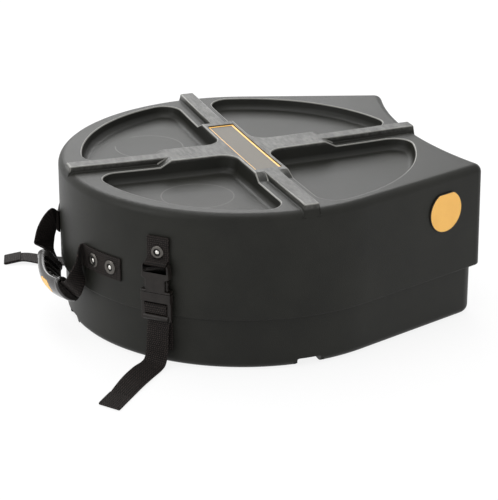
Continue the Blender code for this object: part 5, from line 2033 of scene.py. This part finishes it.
@dataclass
class Studio:
    """A pale floor, soft light from above and behind, and the camera."""

    camera_place: Triple = (-0.6466, -1.7989, 0.8326)
    turns: Triple = (20.0458, -22.0252, -0.2365)
    lens: float = 132.08
    floor_colour: Triple = (0.93, 0.93, 0.93)
    floor_white: float = 0.86
    horizon: float = 0.75
    zenith: float = 1.0
    lamps: Sequence[Lamp] = (
        Lamp("back_softbox", (0.35, 1.9, 1.5), 1.6, 26.0, (0.0, 0.0, 0.12)),
        Lamp("top_softbox", (-0.2, 0.2, 2.0), 1.5, 16.0),
        Lamp("left_softbox", (-1.9, -0.2, 1.0), 1.1, 10.0))

    def build(self) -> None:
        """Set the studio up."""
        self.camera()
        self.floor()
        self.world()
        for lamp in self.lamps:
            lamp.hang()
        bpy.context.scene.view_settings.view_transform = "Standard"

    def camera(self) -> None:
        """Place the camera at the photograph's angle."""
        yaw, pitch, roll = (math.radians(turn) for turn in self.turns)
        ahead = Vector((math.sin(yaw) * math.cos(pitch), math.cos(yaw) * math.cos(pitch),
                        math.sin(pitch)))
        right = Vector((math.cos(yaw), -math.sin(yaw), 0.0))
        up = right.cross(ahead)
        right, up = (right * math.cos(roll) + up * math.sin(roll),
                     up * math.cos(roll) - right * math.sin(roll))
        data = bpy.data.cameras.new("studio_camera")
        data.lens, data.sensor_width = self.lens, 36.0
        data.clip_start, data.clip_end = 0.05, 60.0
        obj = bpy.data.objects.new("studio_camera", data)
        bpy.context.scene.collection.objects.link(obj)
        turn = Matrix((right, up, -ahead)).transposed().to_4x4()
        obj.matrix_world = Matrix.Translation(Vector(self.camera_place)) @ turn
        bpy.context.scene.camera = obj

    @staticmethod
    def background_share(recipe: Recipe) -> Signal:
        """1 for the rays that see the background: the camera's, mirrored and clear ones.

        Args:
            recipe: The material or world.

        Returns:
            The share.
        """
        camera, mirrored, clear = (
            recipe.node("ShaderNodeLightPath", output=f"Is {kind} Ray")
            for kind in ("Camera", "Glossy", "Transmission"))
        return camera.larger(mirrored).larger(clear)

    def floor(self) -> None:
        """Lay the floor: matt and pale, and white to the camera away from the shadow."""
        recipe = Recipe("pale_floor")
        path = self.background_share(recipe)
        speck = recipe.noise(recipe.place(), 40.0, 3.0)
        base = recipe.blend(speck * 0.2, self.floor_colour, (0.9, 0.9, 0.9))
        matt = recipe.node("ShaderNodeBsdfDiffuse", inputs={"Color": base})
        bright = recipe.node("ShaderNodeEmission", inputs={"Color": (1.0, 1.0, 1.0),
                                                           "Strength": 1.0})
        recipe.close(recipe.node("ShaderNodeMixShader", inputs={
            0: path * self.floor_white, 1: matt, 2: bright}))
        floor = Shape.primitive("pale_floor", bpy.ops.mesh.primitive_plane_add, size=40.0,
                                location=(0, 0, -0.0002))
        floor.carry(recipe.material)

    def world(self) -> None:
        """A pale surround, brighter above and behind the case, white to the camera."""
        world = bpy.data.worlds.new("studio_surround")
        bpy.context.scene.world = world
        world.use_nodes = True
        recipe = Recipe(tree=world.node_tree)
        ray = recipe.node("ShaderNodeTexCoord", output="Generated")
        _, y, z = recipe.axes(ray)
        level = z.ramp(-0.1, 0.9, self.horizon, self.zenith) * y.ramp(-0.9, 0.8, 0.68, 1.15)
        path = self.background_share(recipe)
        level = path + level * (1 - path)
        recipe.close(recipe.node("ShaderNodeBackground", inputs={
            "Color": (1.0, 1.0, 1.0), "Strength": level}), "ShaderNodeOutputWorld")


# What lies freely: rows (across, out, height, roll, turn) of the straps' tails, and rows
# (x, y, z, side x, side y, side z, width) of the handle's webbing between tab and grip

TAILS: dict[Side, Rows] = {
    Side.NEAR: (
        (-0.001, 0.0036, 0.04), (-0.002, 0.004, 0.024), (-0.0026, 0.0048, 0.014, -2.0),
        (-0.0029, 0.0084, 0.0062, -6.0), (-0.003, 0.017, 0.0042, -9.0),
        (-0.003, 0.034, 0.005, -14.0), (-0.003, 0.056, 0.0044, -12.0),
        (-0.0026, 0.076, 0.0024, -5.0, 3.0), (-0.002, 0.09, 0.001, 0.0, 8.0),
        (-0.0008, 0.109, 0.001, 0.0, 8.0), (-0.0006, 0.1116, 0.00185, 0.0, 8.0),
        (-0.0008, 0.109, 0.0027, 0.0, 8.0), (-0.0022, 0.086, 0.0027, 0.0, 8.0)),
    Side.FAR: (
        (0.001, 0.0036, 0.04), (0.0016, 0.004, 0.024), (0.0022, 0.0048, 0.014),
        (0.003, 0.0084, 0.0062, 0.0, -6.0), (0.0045, 0.017, 0.0034, 0.0, -10.0),
        (0.0085, 0.036, 0.0018, 0.0, -13.0), (0.013, 0.054, 0.0024, 0.0, -16.0),
        (0.0172, 0.0685, 0.0042, 0.0, -22.0), (0.0206, 0.077, 0.0044, 0.0, -28.0),
        (0.0252, 0.085, 0.003, 0.0, -31.0), (0.03, 0.093, 0.0013, 0.0, -31.0),
        (0.0312, 0.095, 0.00215, 0.0, -31.0), (0.03, 0.093, 0.003, 0.0, -31.0),
        (0.0252, 0.085, 0.0047, 0.0, -31.0), (0.0214, 0.0786, 0.0061, 0.0, -29.0))}
HANDLE_ROWS: dict[Side, Rows] = {
    Side.NEAR: (
        (-0.2036, -0.051, 0.0955, -0.06, -0.1, 0.99, 0.025),
        (-0.205, -0.0524, 0.093, -0.22, -0.42, 0.88, 0.025),
        (-0.2068, -0.054, 0.0885, -0.42, -0.75, 0.5, 0.024),
        (-0.2092, -0.0565, 0.081, -0.6, -0.62, 0.5, 0.024),
        (-0.2116, -0.0585, 0.0715, -0.86, -0.33, 0.38, 0.025),
        (-0.2146, -0.0572, 0.0635, -0.8, -0.12, 0.58, 0.025)),
    Side.FAR: (
        (-0.204, 0.0515, 0.1, -0.06, -0.08, 0.99, 0.025),
        (-0.2064, 0.0492, 0.1038, -0.25, -0.25, 0.93, 0.025),
        (-0.2096, 0.0492, 0.101, -0.62, -0.33, 0.7, 0.025),
        (-0.2128, 0.0505, 0.0945, -0.84, -0.3, 0.45, 0.025),
        (-0.2152, 0.052, 0.088, -0.93, -0.27, 0.23, 0.025),
        (-0.2177, 0.0525, 0.078, -0.96, -0.25, 0.12, 0.025),
        (-0.2186, 0.051, 0.069, -0.86, -0.15, 0.45, 0.025))}


def main() -> None:
    """Build the studio and the case."""
    logging.basicConfig(level=logging.INFO, format="%(message)s")
    Studio().build()
    finishes = FinishSet()
    Lid(finishes).build()
    Base(finishes).build()
    for side in Side:
        BuckleSet(finishes, side, TAILS[side]).build()
    Handle(finishes, HANDLE_ROWS).build()


if __name__ == "__main__":
    main()
